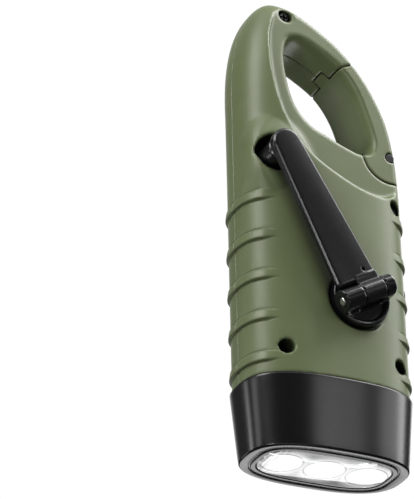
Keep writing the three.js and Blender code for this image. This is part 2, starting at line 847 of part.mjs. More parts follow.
function windowPrism(grow, low, high) {
  const sides = cavitySides + roundSteps;
  const outline = superellipse(windowWidth / 2 + grow, windowDepth / 2 + grow, windowPower, sides);
  return solid(loft([{ outline, height: low }, { outline, height: high }]));
}

function bezelGroove() {
  const outer = windowPrism(bezelGrooveInset + bezelGrooveWidth, -overrun, bezelGrooveDepth);
  return cut(outer, windowPrism(bezelGrooveInset, -2 * overrun, overrun));
}

const lensSeatZ = capFloor + seatGap;
const lensBackZ = lensSeatZ + lensPlate;
const reflectorZ = lensBackZ + seatGap;
const reflectorEnd = reflectorZ + reflectorHeight;
const ledBoardZ = reflectorEnd + ledFlange + 2 * seatGap;

function frontLens() {
  return join(
    windowPrism(lensLedge, lensSeatZ, lensBackZ),
    windowPrism(-seatGap, 0, lensSeatZ),
  );
}

const ledPlaces = Array.from({ length: ledCount }, (_, i) => (i - (ledCount - 1) / 2) * ledPitch);

function reflectorCups() {
  const [wide, deep] = capInnerHalf(reflectorZ).map((value) => value - 2 * seatGap);
  const outline = superellipse(wide, deep, cornerPower, cavitySides);
  const block = solid(loft([
    { outline, height: reflectorZ },
    { outline, height: reflectorEnd },
  ]));
  const depth = reflectorHeight + seatGap;
  const bowl = cupShares.map((share) => {
    const radius = cupThroat + (cupRadius - cupThroat) * share ** cupPower;
    return [radius, -share * depth];
  });
  const profile = [[0, seatGap], [cupThroat, seatGap], ...bowl, [0, -depth]].reverse();
  const points = profile.map(([radius, height]) => new THREE.Vector2(radius, height));
  const cup = new THREE.LatheGeometry(points, roundSides).rotateX(Math.PI / 2);
  const cups = ledPlaces.map((x) => solid(cup.clone().translate(x, 0, reflectorEnd)));
  return cut(block, ...cups);
}

function led(x) {
  const back = ledBoardZ - seatGap;
  const dome = back - ledLength;
  const round = Array.from({ length: domeSteps + 1 }, (_, i) => {
    const angle = radians((quarter * i) / domeSteps);
    return new THREE.Vector2(ledRadius * Math.sin(angle), dome + ledRadius * (1 - Math.cos(angle)));
  });
  round[0].x = 0;
  const base = back - ledFlange;
  const flange = ledRadius + ledFlange;
  const profile = [...round, new THREE.Vector2(ledRadius, base), new THREE.Vector2(flange, base),
    new THREE.Vector2(flange, back), new THREE.Vector2(0, back)];
  return solid(new THREE.LatheGeometry(profile, smallSides).rotateX(Math.PI / 2).translate(x, 0, 0));
}

function ledBoard() {
  const [wide, deep] = capInnerHalf(ledBoardZ).map((value) => value - 2 * seatGap);
  const outline = superellipse(wide, deep, cornerPower, cavitySides);
  return solid(loft([
    { outline, height: ledBoardZ },
    { outline, height: ledBoardZ + ledBoardThickness },
  ]));
}

function solarFrame() {
  const half = panelRimWidth / 2;
  const base = slab(panelOutline(0), panelSeatY + seatGap, panelFaceY - panelRimStep);
  const rimOutline = roundedBox(-half, half, panelRimFoot, panelRimTop, cellCorner);
  const rim = slab(rimOutline, panelSeatY + seatGap, panelFaceY);
  const cellHalf = cellWidth / 2 + seatGap;
  const well = slab(
    roundedBox(-cellHalf, cellHalf, cellFoot - seatGap, cellFoot + cellHeight + seatGap, cellCorner),
    panelFaceY - cellSunk - cellThickness - seatGap,
    panelFaceY + overrun,
  );
  return cut(join(base, rim), well);
}

function solarCell() {
  const top = panelFaceY - cellSunk;
  const half = cellWidth / 2;
  const outline = roundedBox(-half, half, cellFoot, cellFoot + cellHeight, cellCorner - seatGap);
  return slab(outline, top - cellThickness, top);
}

// Involute teeth about a line along Y, with a tooth on the line at tooth angle
function gearOutline(module, teeth, x, z, toothAngle) {
  const pitch = wheelRadius(module, teeth);
  const base = pitch * Math.cos(radians(gearSkew));
  const tip = pitch + module * gearAddendumShare;
  const root = pitch - module * gearDedendumShare;
  const roll = (radius) => Math.sqrt(Math.max(0, (radius / base) ** 2 - 1));
  const lean = (radius) => roll(radius) - Math.atan(roll(radius));
  const halfAtPitch = (Math.PI * module / 2 - gearBacklash) / 2 / pitch;
  const flankStart = Math.max(base, root);
  const flank = gearFlankShares.map((share) => {
    const radius = flankStart + (tip - flankStart) * share;
    return [radius, halfAtPitch + lean(pitch) - lean(radius)];
  });
  const side = root < base ? [[root, flank[0][1]], ...flank.slice(1)] : flank;
  return Array.from({ length: teeth }, (_, i) => {
    const middle = toothAngle + (i / teeth) * turn;
    const rising = side.map(([radius, half]) => [radius, middle - half]);
    const falling = side.map(([radius, half]) => [radius, middle + half]).reverse();
    return [...rising, ...falling].map(([radius, angle]) => (
      [x + radius * Math.cos(angle), z + radius * Math.sin(angle)]
    ));
  }).flat();
}

const crankToIdler = Math.atan2(idlerZ - crankZ, idlerX - crankX);
const idlerToRotor = Math.atan2(rotorZ - idlerZ, rotorX - idlerX);
const gapAngle = (line, teeth) => line + Math.PI + Math.PI / teeth;
const lightening = (x, z, outerRadius, low, high) => cut(
  rodY(outerRadius, x, z, low, high, roundSides),
  rodY(wheelBoss, x, z, low - overrun, high + overrun, roundSides),
);

function driveGear() {
  const outline = gearOutline(firstModule, firstWheelTeeth, crankX, crankZ, crankToIdler);
  const reach = wheelRadius(firstModule, firstWheelTeeth) * wheelRimShare;
  return cut(
    slab(outline, firstLayerY, firstLayerEnd),
    rodY(boreFor(shaftRadius, seatGap), crankX, crankZ, firstLayerY - overrun, firstLayerEnd + overrun),
    lightening(crankX, crankZ, reach, firstLayerY - overrun, firstLayerY + wheelWebDepth),
    lightening(crankX, crankZ, reach, firstLayerEnd - wheelWebDepth, firstLayerEnd + overrun),
  );
}

function idlerGear() {
  const pinionAngle = gapAngle(crankToIdler, firstPinionTeeth);
  const pinion = gearOutline(firstModule, firstPinionTeeth, idlerX, idlerZ, pinionAngle);
  const wheel = gearOutline(secondModule, secondWheelTeeth, idlerX, idlerZ, idlerToRotor);
  return cut(
    join(slab(pinion, firstLayerY, secondLayerY + seatGap), slab(wheel, secondLayerY, secondLayerEnd)),
    rodY(boreFor(idlerAxleRadius), idlerX, idlerZ, firstLayerY - overrun, secondLayerEnd + overrun),
  );
}

const idlerSeatY = rearInnerY - bushFlangeWall;

function idlerAxle() {
  return rodY(idlerAxleRadius, idlerX, idlerZ, idlerSeatY + seatGap, plateEnd - seatGap);
}

const rotorStart = statorY + seatGap;
const rotorEnd = rotorStart + rotorLength;
const statorEnd = rotorEnd + seatGap + statorBack;

function generatorRotor() {
  const pinionAngle = gapAngle(idlerToRotor, secondPinionTeeth);
  const pinion = gearOutline(secondModule, secondPinionTeeth, rotorX, rotorZ, pinionAngle);
  return join(
    slab(pinion, secondLayerY - pinionOverhang, secondLayerEnd + pinionOverhang),
    rodY(rotorShaftRadius, rotorX, rotorZ, secondLayerEnd, rotorStart + seatGap),
    rodY(rotorRadius, rotorX, rotorZ, rotorStart, rotorEnd, roundSides),
  );
}

function generatorStator() {
  return cut(
    rodY(statorRadius, rotorX, rotorZ, statorY, statorEnd, roundSides),
    rodY(statorRadius - statorWall, rotorX, rotorZ, statorY - overrun, statorEnd - statorBack, roundSides),
  );
}

function gearPlate() {
  const pad = postRadius + plateMargin;
  const [left, low, right, high] = postPlaces;
  const outline = [
    [left[0] - pad, left[1] - pad],
    [low[0] - pad, low[1] - pad],
    [low[0] + pad, low[1] - pad],
    [low[0] + pad, low[1] + pad],
    [right[0] + pad, right[1] - pad],
    [right[0] + pad, right[1] + pad],
    [rotorX + statorRadius, rotorZ + statorRadius * plateCornerShare],
    [rotorX, rotorZ + statorRadius],
    [high[0] - pad, high[1] + pad],
    [high[0] - pad, high[1] - pad],
  ];
  const through = (radius, x, z) => rodY(boreFor(radius), x, z, plateY - overrun, plateEnd + overrun);
  return cut(
    slab(outline, plateY, plateEnd),
    through(shaftRadius, crankX, crankZ),
    through(idlerAxleRadius, idlerX, idlerZ),
    through(rotorShaftRadius, rotorX, rotorZ),
  );
}

const bushOuter = boreFor(shaftRadius, runningGap, roundSides) + bushWall;
const recessFloorY = hubRecessDepth - halfDepth;

function shaftBush() {
  const bore = boreFor(shaftRadius, runningGap, roundSides);
  return cut(
    rodY(bushOuter, crankX, crankZ, recessFloorY, rearInnerY + bushFlange / 2, roundSides),
    rodY(bore, crankX, crankZ, -halfDepth, rearInnerY + overrun, roundSides),
  );
}

const hubBackY = recessFloorY - seatGap;
const hubLipY = -halfDepth - hubProud;
const hubDishY = hubLipY + hubDish;

// Crank pieces are built on the hub's own axes: X along the hinge, Z along the arm, Y = 0 at the hinge
const fromHinge = (y) => y - hingeY;

function ear(low, high) {
  const round = rodX(knuckleRadius, low, high, 0, 0, roundSides);
  const web = box([low, 0, -knuckleRadius], [high, fromHinge(hubDishY) + seatGap, knuckleRadius]);
  return join(round, web);
}

function crankHub() {
  const disc = turned([
    [0, fromHinge(hubDishY)],
    [hubRadius - hubLip - hubDish, fromHinge(hubDishY)],
    [hubRadius - hubLip, fromHinge(hubLipY)],
    [hubRadius - seatGap, fromHinge(hubLipY)],
    [hubRadius, fromHinge(hubLipY) + seatGap],
    [hubRadius, fromHinge(hubBackY)],
    [shaftRadius, fromHinge(hubBackY)],
    [shaftRadius, fromHinge(plateEnd)],
    [0, fromHinge(plateEnd)],
  ], 0, 0);
  const ears = join(ear(barrelLeft, armKnuckleLeft - seatGap), ear(armKnuckleRight + seatGap, barrelRight));
  const rimCut = cut(
    rodY(hubRadius + overrun, 0, 0, fromHinge(hubLipY) - seatGap, fromHinge(hubBackY) + overrun, roundSides),
    rodY(hubRadius, 0, 0, fromHinge(hubLipY) - overrun, fromHinge(hubBackY) + 2 * overrun, roundSides),
  );
  const pinHole = rodX(boreFor(hingePinRadius), barrelLeft - overrun, barrelRight + overrun, 0, 0);
  return cut(join(cut(ears, rimCut), disc), pinHole);
}

function hingePin() {
  return rodX(hingePinRadius, barrelLeft - hingePinProud, barrelRight + hingePinProud, 0, 0);
}

function armOutline() {
  const leftSlope = Math.atan2(-armRootLeft - armTipRadius, armLength - armRootStart);
  const rightSlope = Math.atan2(armRootRight - armTipRadius, armLength - armRootStart);
  const toDeg = THREE.MathUtils.radToDeg;
  const foot = armRootStart + armRootRound;
  return [
    ...arc(armRootRound, -quarter, 0, roundSteps, armRootRight - armRootRound, foot),
    ...arc(armTipRadius, toDeg(rightSlope), 2 * quarter - toDeg(leftSlope), armTipSteps, 0, armLength),
    ...arc(armRootRound, 2 * quarter, 3 * quarter, roundSteps, armRootLeft + armRootRound, foot),
  ];
}

function bevelledPlate(outline, half, bevel) {
  const inset = offsetOutline(outline, -bevel, true);
  return loftAlongY([
    { outline: inset, y: -half },
    { outline, y: bevel - half },
    { outline, y: half - bevel },
    { outline: inset, y: half },
  ]);
}

function crankArm() {
  const half = armThickness / 2;
  const neck = box(
    [armKnuckleLeft, -half, 0],
    [armKnuckleRight, half, armRootStart + armRootRound],
  );
  const knuckle = rodX(knuckleRadius, armKnuckleLeft, armKnuckleRight, 0, 0, roundSides);
  return cut(
    join(bevelledPlate(armOutline(), half, armBevel), neck, knuckle),
    rodX(boreFor(hingePinRadius), barrelLeft, barrelRight, 0, 0),
    rodY(boreFor(knobAxleRadius, seatGap), 0, armLength, knobAxleSkin - half, armThickness),
    rodY(armDimpleRadius, armDimpleX, armDimpleZ, -armThickness, armDimpleDepth - half),
  );
}

const knobStart = armThickness / 2 + seatGap;

function knob() {
  const end = knobStart + knobLength;
  const body = turned([
    [0, knobStart],
    [knobRadius - knobBevel, knobStart],
    [knobRadius, knobStart + knobBevel],
    [knobRadius, end - knobBevel],
    [knobRadius - knobBevel, end],
    [0, end],
  ], 0, armLength);
  const headSeat = end - 2 * knobAxleHeadDepth;
  const counterbore = rodY(knobAxleHead + seatGap, 0, armLength, headSeat, end + overrun, roundSides);
  return cut(body, rodY(boreFor(knobAxleRadius), 0, armLength, 0, end + overrun), counterbore);
}

function knobAxle() {
  const end = knobStart + knobLength - 2 * knobAxleHeadDepth + seatGap;
  return join(
    rodY(knobAxleRadius, 0, armLength, knobAxleSkin + seatGap - armThickness / 2, end + knobAxleHeadDepth),
    rodY(knobAxleHead, 0, armLength, end, end + knobAxleHeadDepth, roundSides),
  );
}

function gate() {
  const tip = tongueZone(0);
  const arm = outside.intersect(join(gateZone(0, halfDepth), tip));
  return cut(
    arm,
    lugZone(seatGap),
    gateSwingRoom(),
    rodY(boreFor(gatePinRadius), pivotX, pivotZ, -halfDepth, halfDepth),
  );
}

function gatePin() {
  const half = facetHalf - gatePinRecess;
  return rodY(gatePinRadius, pivotX, pivotZ, -half, half);
}

// Torsion spring: a straight leg down into the body, the coil round the pin, a leg up to the gate
function gateSpring() {
  const steps = springSteps * springTurns;
  const half = springSpan / 2;
  const points = [new THREE.Vector3(springCoilRadius, -half, -springLeg)];
  for (let i = 0; i <= steps; i += 1) {
    const angle = (i / springSteps) * turn;
    points.push(new THREE.Vector3(
      springCoilRadius * Math.cos(angle),
      -half + (springSpan * i) / steps,
      springCoilRadius * Math.sin(angle),
    ));
  }
  points.push(new THREE.Vector3(springCoilRadius, half, springLeg));
  const path = new THREE.CatmullRomCurve3(points, false, 'centripetal');
  const round = arc(springWire, 0, 4 * quarter, springWireSides).slice(0, -1);
  const wire = new THREE.Shape(round.map(([x, y]) => new THREE.Vector2(x, y)));
  const coil = new THREE.ExtrudeGeometry(wire, { steps: 2 * steps, extrudePath: path, bevelEnabled: false });
  return solid(coil.translate(pivotX, 0, pivotZ));
}

function powerButton() {
  const inner = halfWidth - cavityWallX - 2 * seatGap;
  const outline = (grow) => roundedBox(
    grow - buttonWidth / 2,
    buttonWidth / 2 - grow,
    buttonZ - buttonHeight / 2 + grow,
    buttonZ + buttonHeight / 2 - grow,
    buttonCorner - grow,
  );
  const cap = solid(loft([
    { outline: outline(0), height: inner - buttonFlangeThickness },
    { outline: outline(0), height: halfWidth + buttonProud / 2 },
    { outline: outline(buttonProud / 2), height: halfWidth + buttonProud },
  ]).applyMatrix4(alongX));
  const reachY = buttonWidth / 2 + buttonFlange;
  const reachZ = buttonHeight / 2 + buttonFlange;
  const flange = box(
    [inner - buttonFlangeThickness, -reachY, buttonZ - reachZ],
    [inner, reachY, buttonZ + reachZ],
  );
  const stem = box(
    [switchFace + buttonTravel + seatGap, buttonStemY - buttonStemWidth / 2, buttonZ - buttonStemWidth / 2],
    [inner, buttonStemY + buttonStemWidth / 2 - seatGap, buttonZ + buttonStemWidth / 2],
  );
  return join(cap, flange, stem);
}

const switchFace = boardRight + switchPlunger;

function buttonSwitch() {
  const top = boardEnd - seatGap;
  const body = box(
    [boardRight - switchWidth, top - switchDepth, buttonZ - switchHeight / 2],
    [boardRight, top, buttonZ + switchHeight / 2],
  );
  const half = switchPlungerSize / 2;
  const plunger = box(
    [boardRight - seatGap, buttonStemY - half, buttonZ - half],
    [switchFace, buttonStemY + half, buttonZ + half],
  );
  return join(body, plunger);
}

function circuitBoard() {
  return box([boardLeft, boardEnd, boardFoot], [boardRight, boardY, boardTop]);
}

function battery() {
  const pack = rodX(batteryRadius, -batteryLength / 2, batteryLength / 2, 0, batteryZ, roundSides);
  const grooves = Array.from({ length: batteryCells - 1 }, (_, i) => {
    const middle = -batteryLength / 2 + (batteryLength * (i + 1)) / batteryCells;
    const low = middle - batteryCellGroove / 2;
    const high = middle + batteryCellGroove / 2;
    return cut(
      rodX(batteryRadius + overrun, low, high, 0, batteryZ, roundSides),
      rodX(batteryRadius - batteryCellGroove, low - overrun, high + overrun, 0, batteryZ, roundSides),
    );
  });
  return cut(pack, ...grooves);
}

function shellScrew(name) {
  const [x, z] = screwPlaces[name];
  const head = screwSeatY - seatGap;
  const screw = turned([
    [0, head - screwHeadHeight],
    [screwHeadRadius * screwCrownShare, head - screwHeadHeight],
    [screwHeadRadius, head - screwHeadHeight * screwRimShare],
    [screwHeadRadius, head],
    [screwShankRadius, head],
    [screwShankRadius, screwReach - screwShankRadius],
    [0, screwReach],
  ], x, z, smallSides);
  const half = screwSlotWidth / 2;
  const reach = screwHeadRadius * screwRimShare;
  const low = head - screwHeadHeight - overrun;
  const high = head - screwHeadHeight / 2;
  return cut(
    screw,
    box([x - half, low, z - reach], [x + half, high, z + reach]),
    box([x - reach, low, z - half], [x + reach, high, z + half]),
  );
}

function material(color, roughness, metalness = 0) {
  return new THREE.MeshStandardMaterial({ color, roughness, metalness });
}

const olive = () => material(0x6c7858, 0.5);
const gloss = () => material(0x17181a, 0.18);
const satin = () => material(0x1d1e20, 0.35);
const steel = () => material(0xc8cacc, 0.3, 1);
const nylon = () => material(0xe8e6dc, 0.45);
const board = () => material(0x1f5a34, 0.5);

const flashlight = new THREE.Group();

function place(group, name, body, finish) {
  const mesh = new THREE.Mesh(geometryOf(body), finish);
  mesh.name = name;
  group.add(mesh);
}

place(flashlight, 'front_shell', frontShell(), olive());
place(flashlight, 'rear_shell', rearShell(), olive());
place(flashlight, 'head_cap', headCap(), gloss());
place(flashlight, 'front_lens', frontLens(), material(0xf2f6f8, 0.05));
place(flashlight, 'reflector', reflectorCups(), material(0xe6e8ea, 0.12, 1));
place(flashlight, 'led_board', ledBoard(), board());
ledPlaces.forEach((x, i) => place(flashlight, `led_${i + 1}`, led(x), material(0xfdfdf6, 0.1)));
place(flashlight, 'solar_frame', solarFrame(), material(0x47484c, 0.4));
place(flashlight, 'solar_cell', solarCell(), material(0xb08c80, 0.25));
place(flashlight, 'circuit_board', circuitBoard(), board());
place(flashlight, 'battery', battery(), material(0x2f8f57, 0.4));
place(flashlight, 'generator_stator', generatorStator(), material(0xb87333, 0.4, 0.8));
place(flashlight, 'generator_rotor', generatorRotor(), material(0x70747a, 0.35, 0.9));
place(flashlight, 'gear_plate', gearPlate(), steel());
place(flashlight, 'drive_gear', driveGear(), nylon());
place(flashlight, 'idler_gear', idlerGear(), nylon());
place(flashlight, 'idler_axle', idlerAxle(), steel());
place(flashlight, 'shaft_bush', shaftBush(), material(0xc9a15a, 0.35, 0.9));
place(flashlight, 'gate', gate(), olive());
place(flashlight, 'gate_pin', gatePin(), steel());
place(flashlight, 'gate_spring', gateSpring(), steel());
place(flashlight, 'power_button', powerButton(), satin());
place(flashlight, 'button_switch', buttonSwitch(), satin());
Object.keys(screwPlaces).forEach((name) => place(flashlight, name, shellScrew(name), steel()));

const crank = new THREE.Group();
crank.position.set(crankX, hingeY, crankZ);
crank.rotation.y = -radians(crankTiltDeg);
place(crank, 'crank_hub', crankHub(), satin());
place(crank, 'hinge_pin', hingePin(), steel());
place(crank, 'crank_arm', crankArm(), satin());
place(crank, 'knob', knob(), satin());
place(crank, 'knob_axle', knobAxle(), satin());
flashlight.add(crank);

export default flashlight;
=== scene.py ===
import itertools
import math

import bpy
import numpy as np
from mathutils import Matrix, Vector


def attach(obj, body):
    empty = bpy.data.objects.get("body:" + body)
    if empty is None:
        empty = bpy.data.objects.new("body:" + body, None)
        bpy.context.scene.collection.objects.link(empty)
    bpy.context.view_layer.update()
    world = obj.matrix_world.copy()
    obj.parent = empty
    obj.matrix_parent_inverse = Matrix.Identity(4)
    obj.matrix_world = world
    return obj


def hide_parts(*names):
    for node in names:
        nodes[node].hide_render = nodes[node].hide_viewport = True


MM = 0.001


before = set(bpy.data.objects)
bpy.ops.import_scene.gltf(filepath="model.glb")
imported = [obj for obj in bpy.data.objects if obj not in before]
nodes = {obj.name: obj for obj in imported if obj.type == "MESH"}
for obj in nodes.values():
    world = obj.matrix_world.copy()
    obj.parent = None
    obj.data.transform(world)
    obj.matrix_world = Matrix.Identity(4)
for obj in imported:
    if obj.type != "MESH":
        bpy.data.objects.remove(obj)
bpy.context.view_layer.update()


def srgb(red, green, blue):
    """Linear colour from a screen colour of 0 to 255."""
    def channel(value):
        share = value / 255
        return share / 12.92 if share <= 0.04045 else ((share + 0.055) / 1.055) ** 2.4
    return (channel(red), channel(green), channel(blue), 1.0)


# Sizes in millimetres: the solids' own, save where the skins follow the photo more closely
HALF_WIDTH, HALF_DEPTH, CORNER_POWER = 27.3, 16.15, 2.7
BODY_FOOT, BODY_TOP, TOP_FLAT, FOOT_ROUND, TOP_ROUND = 22.6, 156.1, 155.9, 0.3, 0.8
GAP, RUNNING_GAP = 0.3, 0.06
CROWN_BASE, APEX_X, SPINE_BASE, SPINE_POWER = 92.0, -13.9, 119.6, 2.36
THIN_BASE, THIN_POWER, LEAST_HALF = 120.3, 2.44, 0.5
CROWN_SHARES = [
    [1, 0], [0.98, 0.203], [0.925, 0.39], [0.818, 0.546], [0.691, 0.671], [0.535, 0.78],
    [0.323, 0.881], [0.15, 0.958], [0, 1],
]
FACET_HALF, FACET_SLOPE, FACET_FAR, FACET_FILLET, FACET_ROUND = 10.5, 3.3, 9.0, 0.7, 0.5
FACET_EDGE = [
    [-15.0, 158.1], [-16.6, 149.0], [-18.4, 141.0], [-18.5, 133.0], [-17.3, 123.5], [-14.9, 114.5],
    [-12.1, 108.2], [-9.2, 103.6], [-5.6, 99.6], [-1.0, 96.5], [4.9, 93.4], [10.2, 91.3], [16.0, 90.2],
    [20.2, 90.7], [24.5, 93.7], [31.0, 101.0],
]
LOOP_BOX = (-13.1, 16.6, 104.8, 142.2)
LOOP_WAIST, LOOP_FLARE, LOOP_SOFT = 0.3, 1.8, 3.6
LOOP_SHARES = [
    [0.997, 0.126], [0.919, 0.372], [0.815, 0.596], [0.66, 0.773], [0.441, 0.898], [0.182, 0.992],
    [0.05, 0.968], [0, 0.848], [0.013, 0.615], [0.114, 0.332], [0.273, 0.182], [0.458, 0.112],
    [0.65, 0.048], [0.845, 0.003], [0.96, 0.032],
]
RIB_TOP, RIB_PITCH, RIB_COUNT, RIB_TALL, RIB_PROUD, RIB_REACH = 82.2, 13.5, 5, 3.3, 0.85, 0.7
RIB_SLOPE, RIB_CREASE, RIB_CREASE_HALF, RIB_FADE, RIB_END_TALL = 0.42, 0.26, 0.38, 0.3, 0.75
RIB_FLAT_POWER, RIB_EDGE_POWER = 7, 0.55
CRANK_X, CRANK_Z, CRANK_TILT, ARM_LENGTH = 5.6, 49.7, math.radians(29), 51.8
POCKET_SHIFT, POCKET_SLIDE, POCKET_RADIUS, POCKET_DRAFT, POCKET_DEPTH = 0.5, 2.1, 5.0, 0.3, 13
POCKET_RIM_Y, POCKET_FLOOR_Y, POCKET_RIM_ROUND, POCKET_FLOOR_ROUND = -13.3, -2.1, 0.7, 1.0
MOUND_RIM, MOUND_RADIUS, MOUND_DEPTH, MOUND_POWER = 5.9, 8.2, 12.5, 4.5
MOUND_ROUND, MOUND_BLEND, MOUND_LIMIT, MOUND_END_Y, MOUND_FADE = 1.2, 9.0, 3.0, -2, 5
MOUND_SHARES = [[0, 0], [0.36, 0.03], [0.74, 0.16], [1, 0.46], [0.91, 0.72], [0.57, 1]]
GATE_HUB, GATE_TIP = 9.2, 33.3
PIVOT = PIVOT_X, PIVOT_Z = 22.2, 105.3
TONGUE, TONGUE_HALF, TONGUE_START, GATE_OPEN, GATE_BACK, GATE_SWING = 3.0, 2.9, 112, 128, 70, 32
LUG_RADIUS, LUG_HALF, LUG_ROOM, PIN_RADIUS, PIN_ROOM = 6.1, 3.7, 3, 1.5, 0.28
SPRING_COIL, SPRING_ROOM, SPRING_SPAN, SPRING_LEG = 2.7, 0.8, 2.0, 5.4
CAVITY = (25.3, 12.95, 23.8, 83.5)
RECESS_RADIUS, RECESS_Y, RECESS_ROUND, BUSH_HOLE = 9.9, -14.9, 0.45, 4.35
WELL_RADIUS, WELL_Y, SHANK_HOLE, SHANK_END = 2.35, -7.0, 1.5, 6.3
SCREWS = [(-12.6, 149.4), (22.2, 86.8), (-17.8, 31.2), (20.4, 31.5)]
BUTTON, BUTTON_ROOM, BUTTON_INSET, BUTTON_BACK = (60.8, 9.0, 7.6, 3.0), 1.9, 1, 3
PANEL_HALF, PANEL_FOOT, PANEL_SHOULDER, PANEL_CROWN, PANEL_CORNER = 16.8, 28.0, 80.0, 85.8, 3.0
PANEL_SEAT_Y, PANEL_FACE_Y, PANEL_STEP, PANEL_ROUND, PANEL_CLEAR = 14.55, 17.25, 0.6, 0.45, 3
PANEL_RIM, CELL_WELL, CELL_DEEP = (-15.2, 15.2, 31.0, 81.0, 1.5), (-11.2, 11.2, 34.7, 75.5, 1.5), 1.8
CELL_ROUND, CELL_FOOT, CELL_PITCH, LED_PITCH = 0.4, 34.15, 4.53, 13.9
CAP = {"height": 22.3, "rim": (26.05, 14.9), "top": (28.0, 16.85), "wall": 2.0, "floor": 2.0, "round": 0.7}
WINDOW, WINDOW_POWER = (20.7, 10.3), 3.2
GROOVE_INSET, GROOVE_WIDTH, GROOVE_DEPTH = 1.4, 0.6, 0.4
LENS_FLANGE, LENS_THICK = 0.8, 1.2
SPIGOT_FOOT, SPIGOT_WALL = 13.8, 2.0
PARTING = 0.04
HINGE_Y, ARM_THICK, ARM_TIP, ARM_ROOT, ARM_START, ARM_CORNER = -21.0, 4.0, 4.95, (-8.9, 5.8), 3.8, 1.6
ARM_BEVEL, ARM_CROWN, ARM_KNUCKLE, BARREL = 0.75, 0.3, (-2.5, 5.4), (-9.6, 9.2)
KNUCKLE, KNUCKLE_ROUND, PIN, PIN_PROUD, PIN_ROUND, BORE_HALF = 3.4, 0.25, 1.3, 0.2, 0.5, 12
AXLE, AXLE_SEAT, AXLE_SKIN, AXLE_HEAD, AXLE_HEAD_DEEP = 1.4, 0.35, 1.2, 2.8, 1.6
DIMPLE = (1.7, 6.8, 0.7, 1.2)
HUB, SHAFT, HUB_YS, HUB_LIP = 9.4, 2.4, (-15.2, -18.4, -17.3, -3.35), (2.1, 1.0, 0.3)
KNOB, KNOB_LONG, KNOB_CHAMFER = 4.3, 15.6, 0.8
GEAR_WELL = (13.9, -11.85, -8.55)
GEAR_POST, GEAR_PLATE_Y, IDLER_SEAT = 2.4, -4.55, (-7.33, 60.55, 1.06, -14.35)
BOARD_POST, BOARD_Y, BOARD_POSTS = 1.8, 9.15, [(-13.5, 45.5), (-13.5, 63.5), (13.0, 45.5), (13.0, 63.5)]
SCREW_POST, CARRIER, CRADLE = 3.4, (3.12, 71.0, 4.0, 7.05), (7.33, 1.2, 3.25, 6.5, 31.0)
GEAR_POSTS = [(-7.43, 41.72), (20.23, 39.73), (14.91, 66.99), (-11.69, 73.91)]
BOSS_WALL, BOSS_START, LEAST_COVER = 1.85, 4, 1
SHARP, TIGHT, FINE, FILLET, SOFT, SEAM = 0.05, 0.1, 0.15, 0.2, 0.3, 0.35

# Distances between grid lines and numbers of steps
SHELL_STEP, CURVE_STEPS, CORNER_STEPS, OVAL_STEPS, ROUND_STEPS = 0.57, 10, 8, 176, 6
PARTED_LINES = [-0.5, -0.25, -0.06, 0.07, 0.2, 0.4, 0.65]
RIB_EDGE_ROOM, RIB_EDGE_LINES = 0.75, np.array([-0.66, -0.44, -0.24, -0.06, 0.12, 0.3, 0.5, 0.68])
LEAST_SLOPE, SETTLE_REACH = 0.3, 0.3


class Grid:
    """Grid points with uneven spacing; x, y and z are arrays that broadcast against each other."""

    def __init__(self, *axes):
        self.axes = [np.asarray(values, np.float32) for values in axes]
        self.x = self.axes[0][:, None, None]
        self.y = self.axes[1][None, :, None]
        self.z = self.axes[2][None, None, :]


def spline(points, closed=False, knot=0.0):
    """Catmull-Rom curve: knot 0 gives a uniform one, 0.5 a centripetal one."""
    points = np.array(points, float)
    ends = (points[-1:], points[:2]) if closed else (points[:1], points[-1:])
    ring = np.vstack([ends[0], points, ends[1]])
    curve = []
    for a, b, c, d in zip(ring, ring[1:], ring[2:], ring[3:]):
        gaps = [max(np.linalg.norm(q - p), 1e-6) ** knot for p, q in ((a, b), (b, c), (c, d))]
        knots = np.cumsum([0.0] + gaps)
        t = np.linspace(knots[1], knots[2], CURVE_STEPS, endpoint=False)[:, None]

        def between(p, q, i, j):
            return ((knots[j] - t) * p + (t - knots[i]) * q) / (knots[j] - knots[i])

        low, middle, high = between(a, b, 0, 1), between(b, c, 1, 2), between(c, d, 2, 3)
        curve.append(between(between(low, middle, 0, 2), between(middle, high, 1, 3), 1, 2))
    if not closed:
        curve.append(points[-1:])
    return np.vstack(curve)


def arc(radius, start, end, steps, x=0.0, z=0.0):
    """Points on an arc in the XZ plane, with its angles in degrees."""
    angles = np.radians(np.linspace(start, end, steps + 1))
    return np.stack([x + radius * np.cos(angles), z + radius * np.sin(angles)], axis=1)


def polygon_depth(outline, across, up):
    """Distance to a closed outline, positive inside it, at points given by two arrays."""
    shape = np.broadcast_shapes(np.shape(across), np.shape(up))
    nearest = np.full(shape, np.inf, np.float32)
    inside = np.zeros(shape, bool)
    for (ax, az), (bx, bz) in zip(outline, np.roll(outline, -1, axis=0)):
        ex, ez = float(bx - ax), float(bz - az)
        length = ex * ex + ez * ez
        if length < 1e-12:
            continue
        share = np.clip(((across - ax) * ex + (up - az) * ez) / length, 0, 1)
        nearest = np.minimum(nearest, np.hypot(across - ax - share * ex, up - az - share * ez))
        if abs(ez) > 1e-9:
            inside ^= ((az > up) != (bz > up)) & (across < ax + (up - az) * ex / ez)
    return np.where(inside, nearest, -nearest).astype(np.float32)


def outline_depth(outline, grid):
    return polygon_depth(outline, grid.x, grid.z)


def turned(profile, grid, x=0.0, z=0.0):
    """A profile of (radius, y) points turned about a line along Y, negative inside."""
    return -polygon_depth(np.array(profile, float), np.hypot(grid.x - x, grid.z - z), grid.y)


def evened(field, grid):
    """The field scaled so that it grows by a millimetre a millimetre near its surface."""
    slopes = np.gradient(field, *grid.axes)
    return field / np.maximum(np.sqrt(sum(slope * slope for slope in slopes)), LEAST_SLOPE)


def meet(first, second, radius=SHARP):
    """What lies in both, with a rounded edge."""
    inner = np.minimum(-radius, np.maximum(first, second))
    return inner + np.hypot(np.maximum(first + radius, 0), np.maximum(second + radius, 0))


def merge(first, second, radius=SHARP):
    return -meet(-first, -second, radius)


def cut(first, second, radius=SHARP):
    return meet(first, -second, radius)


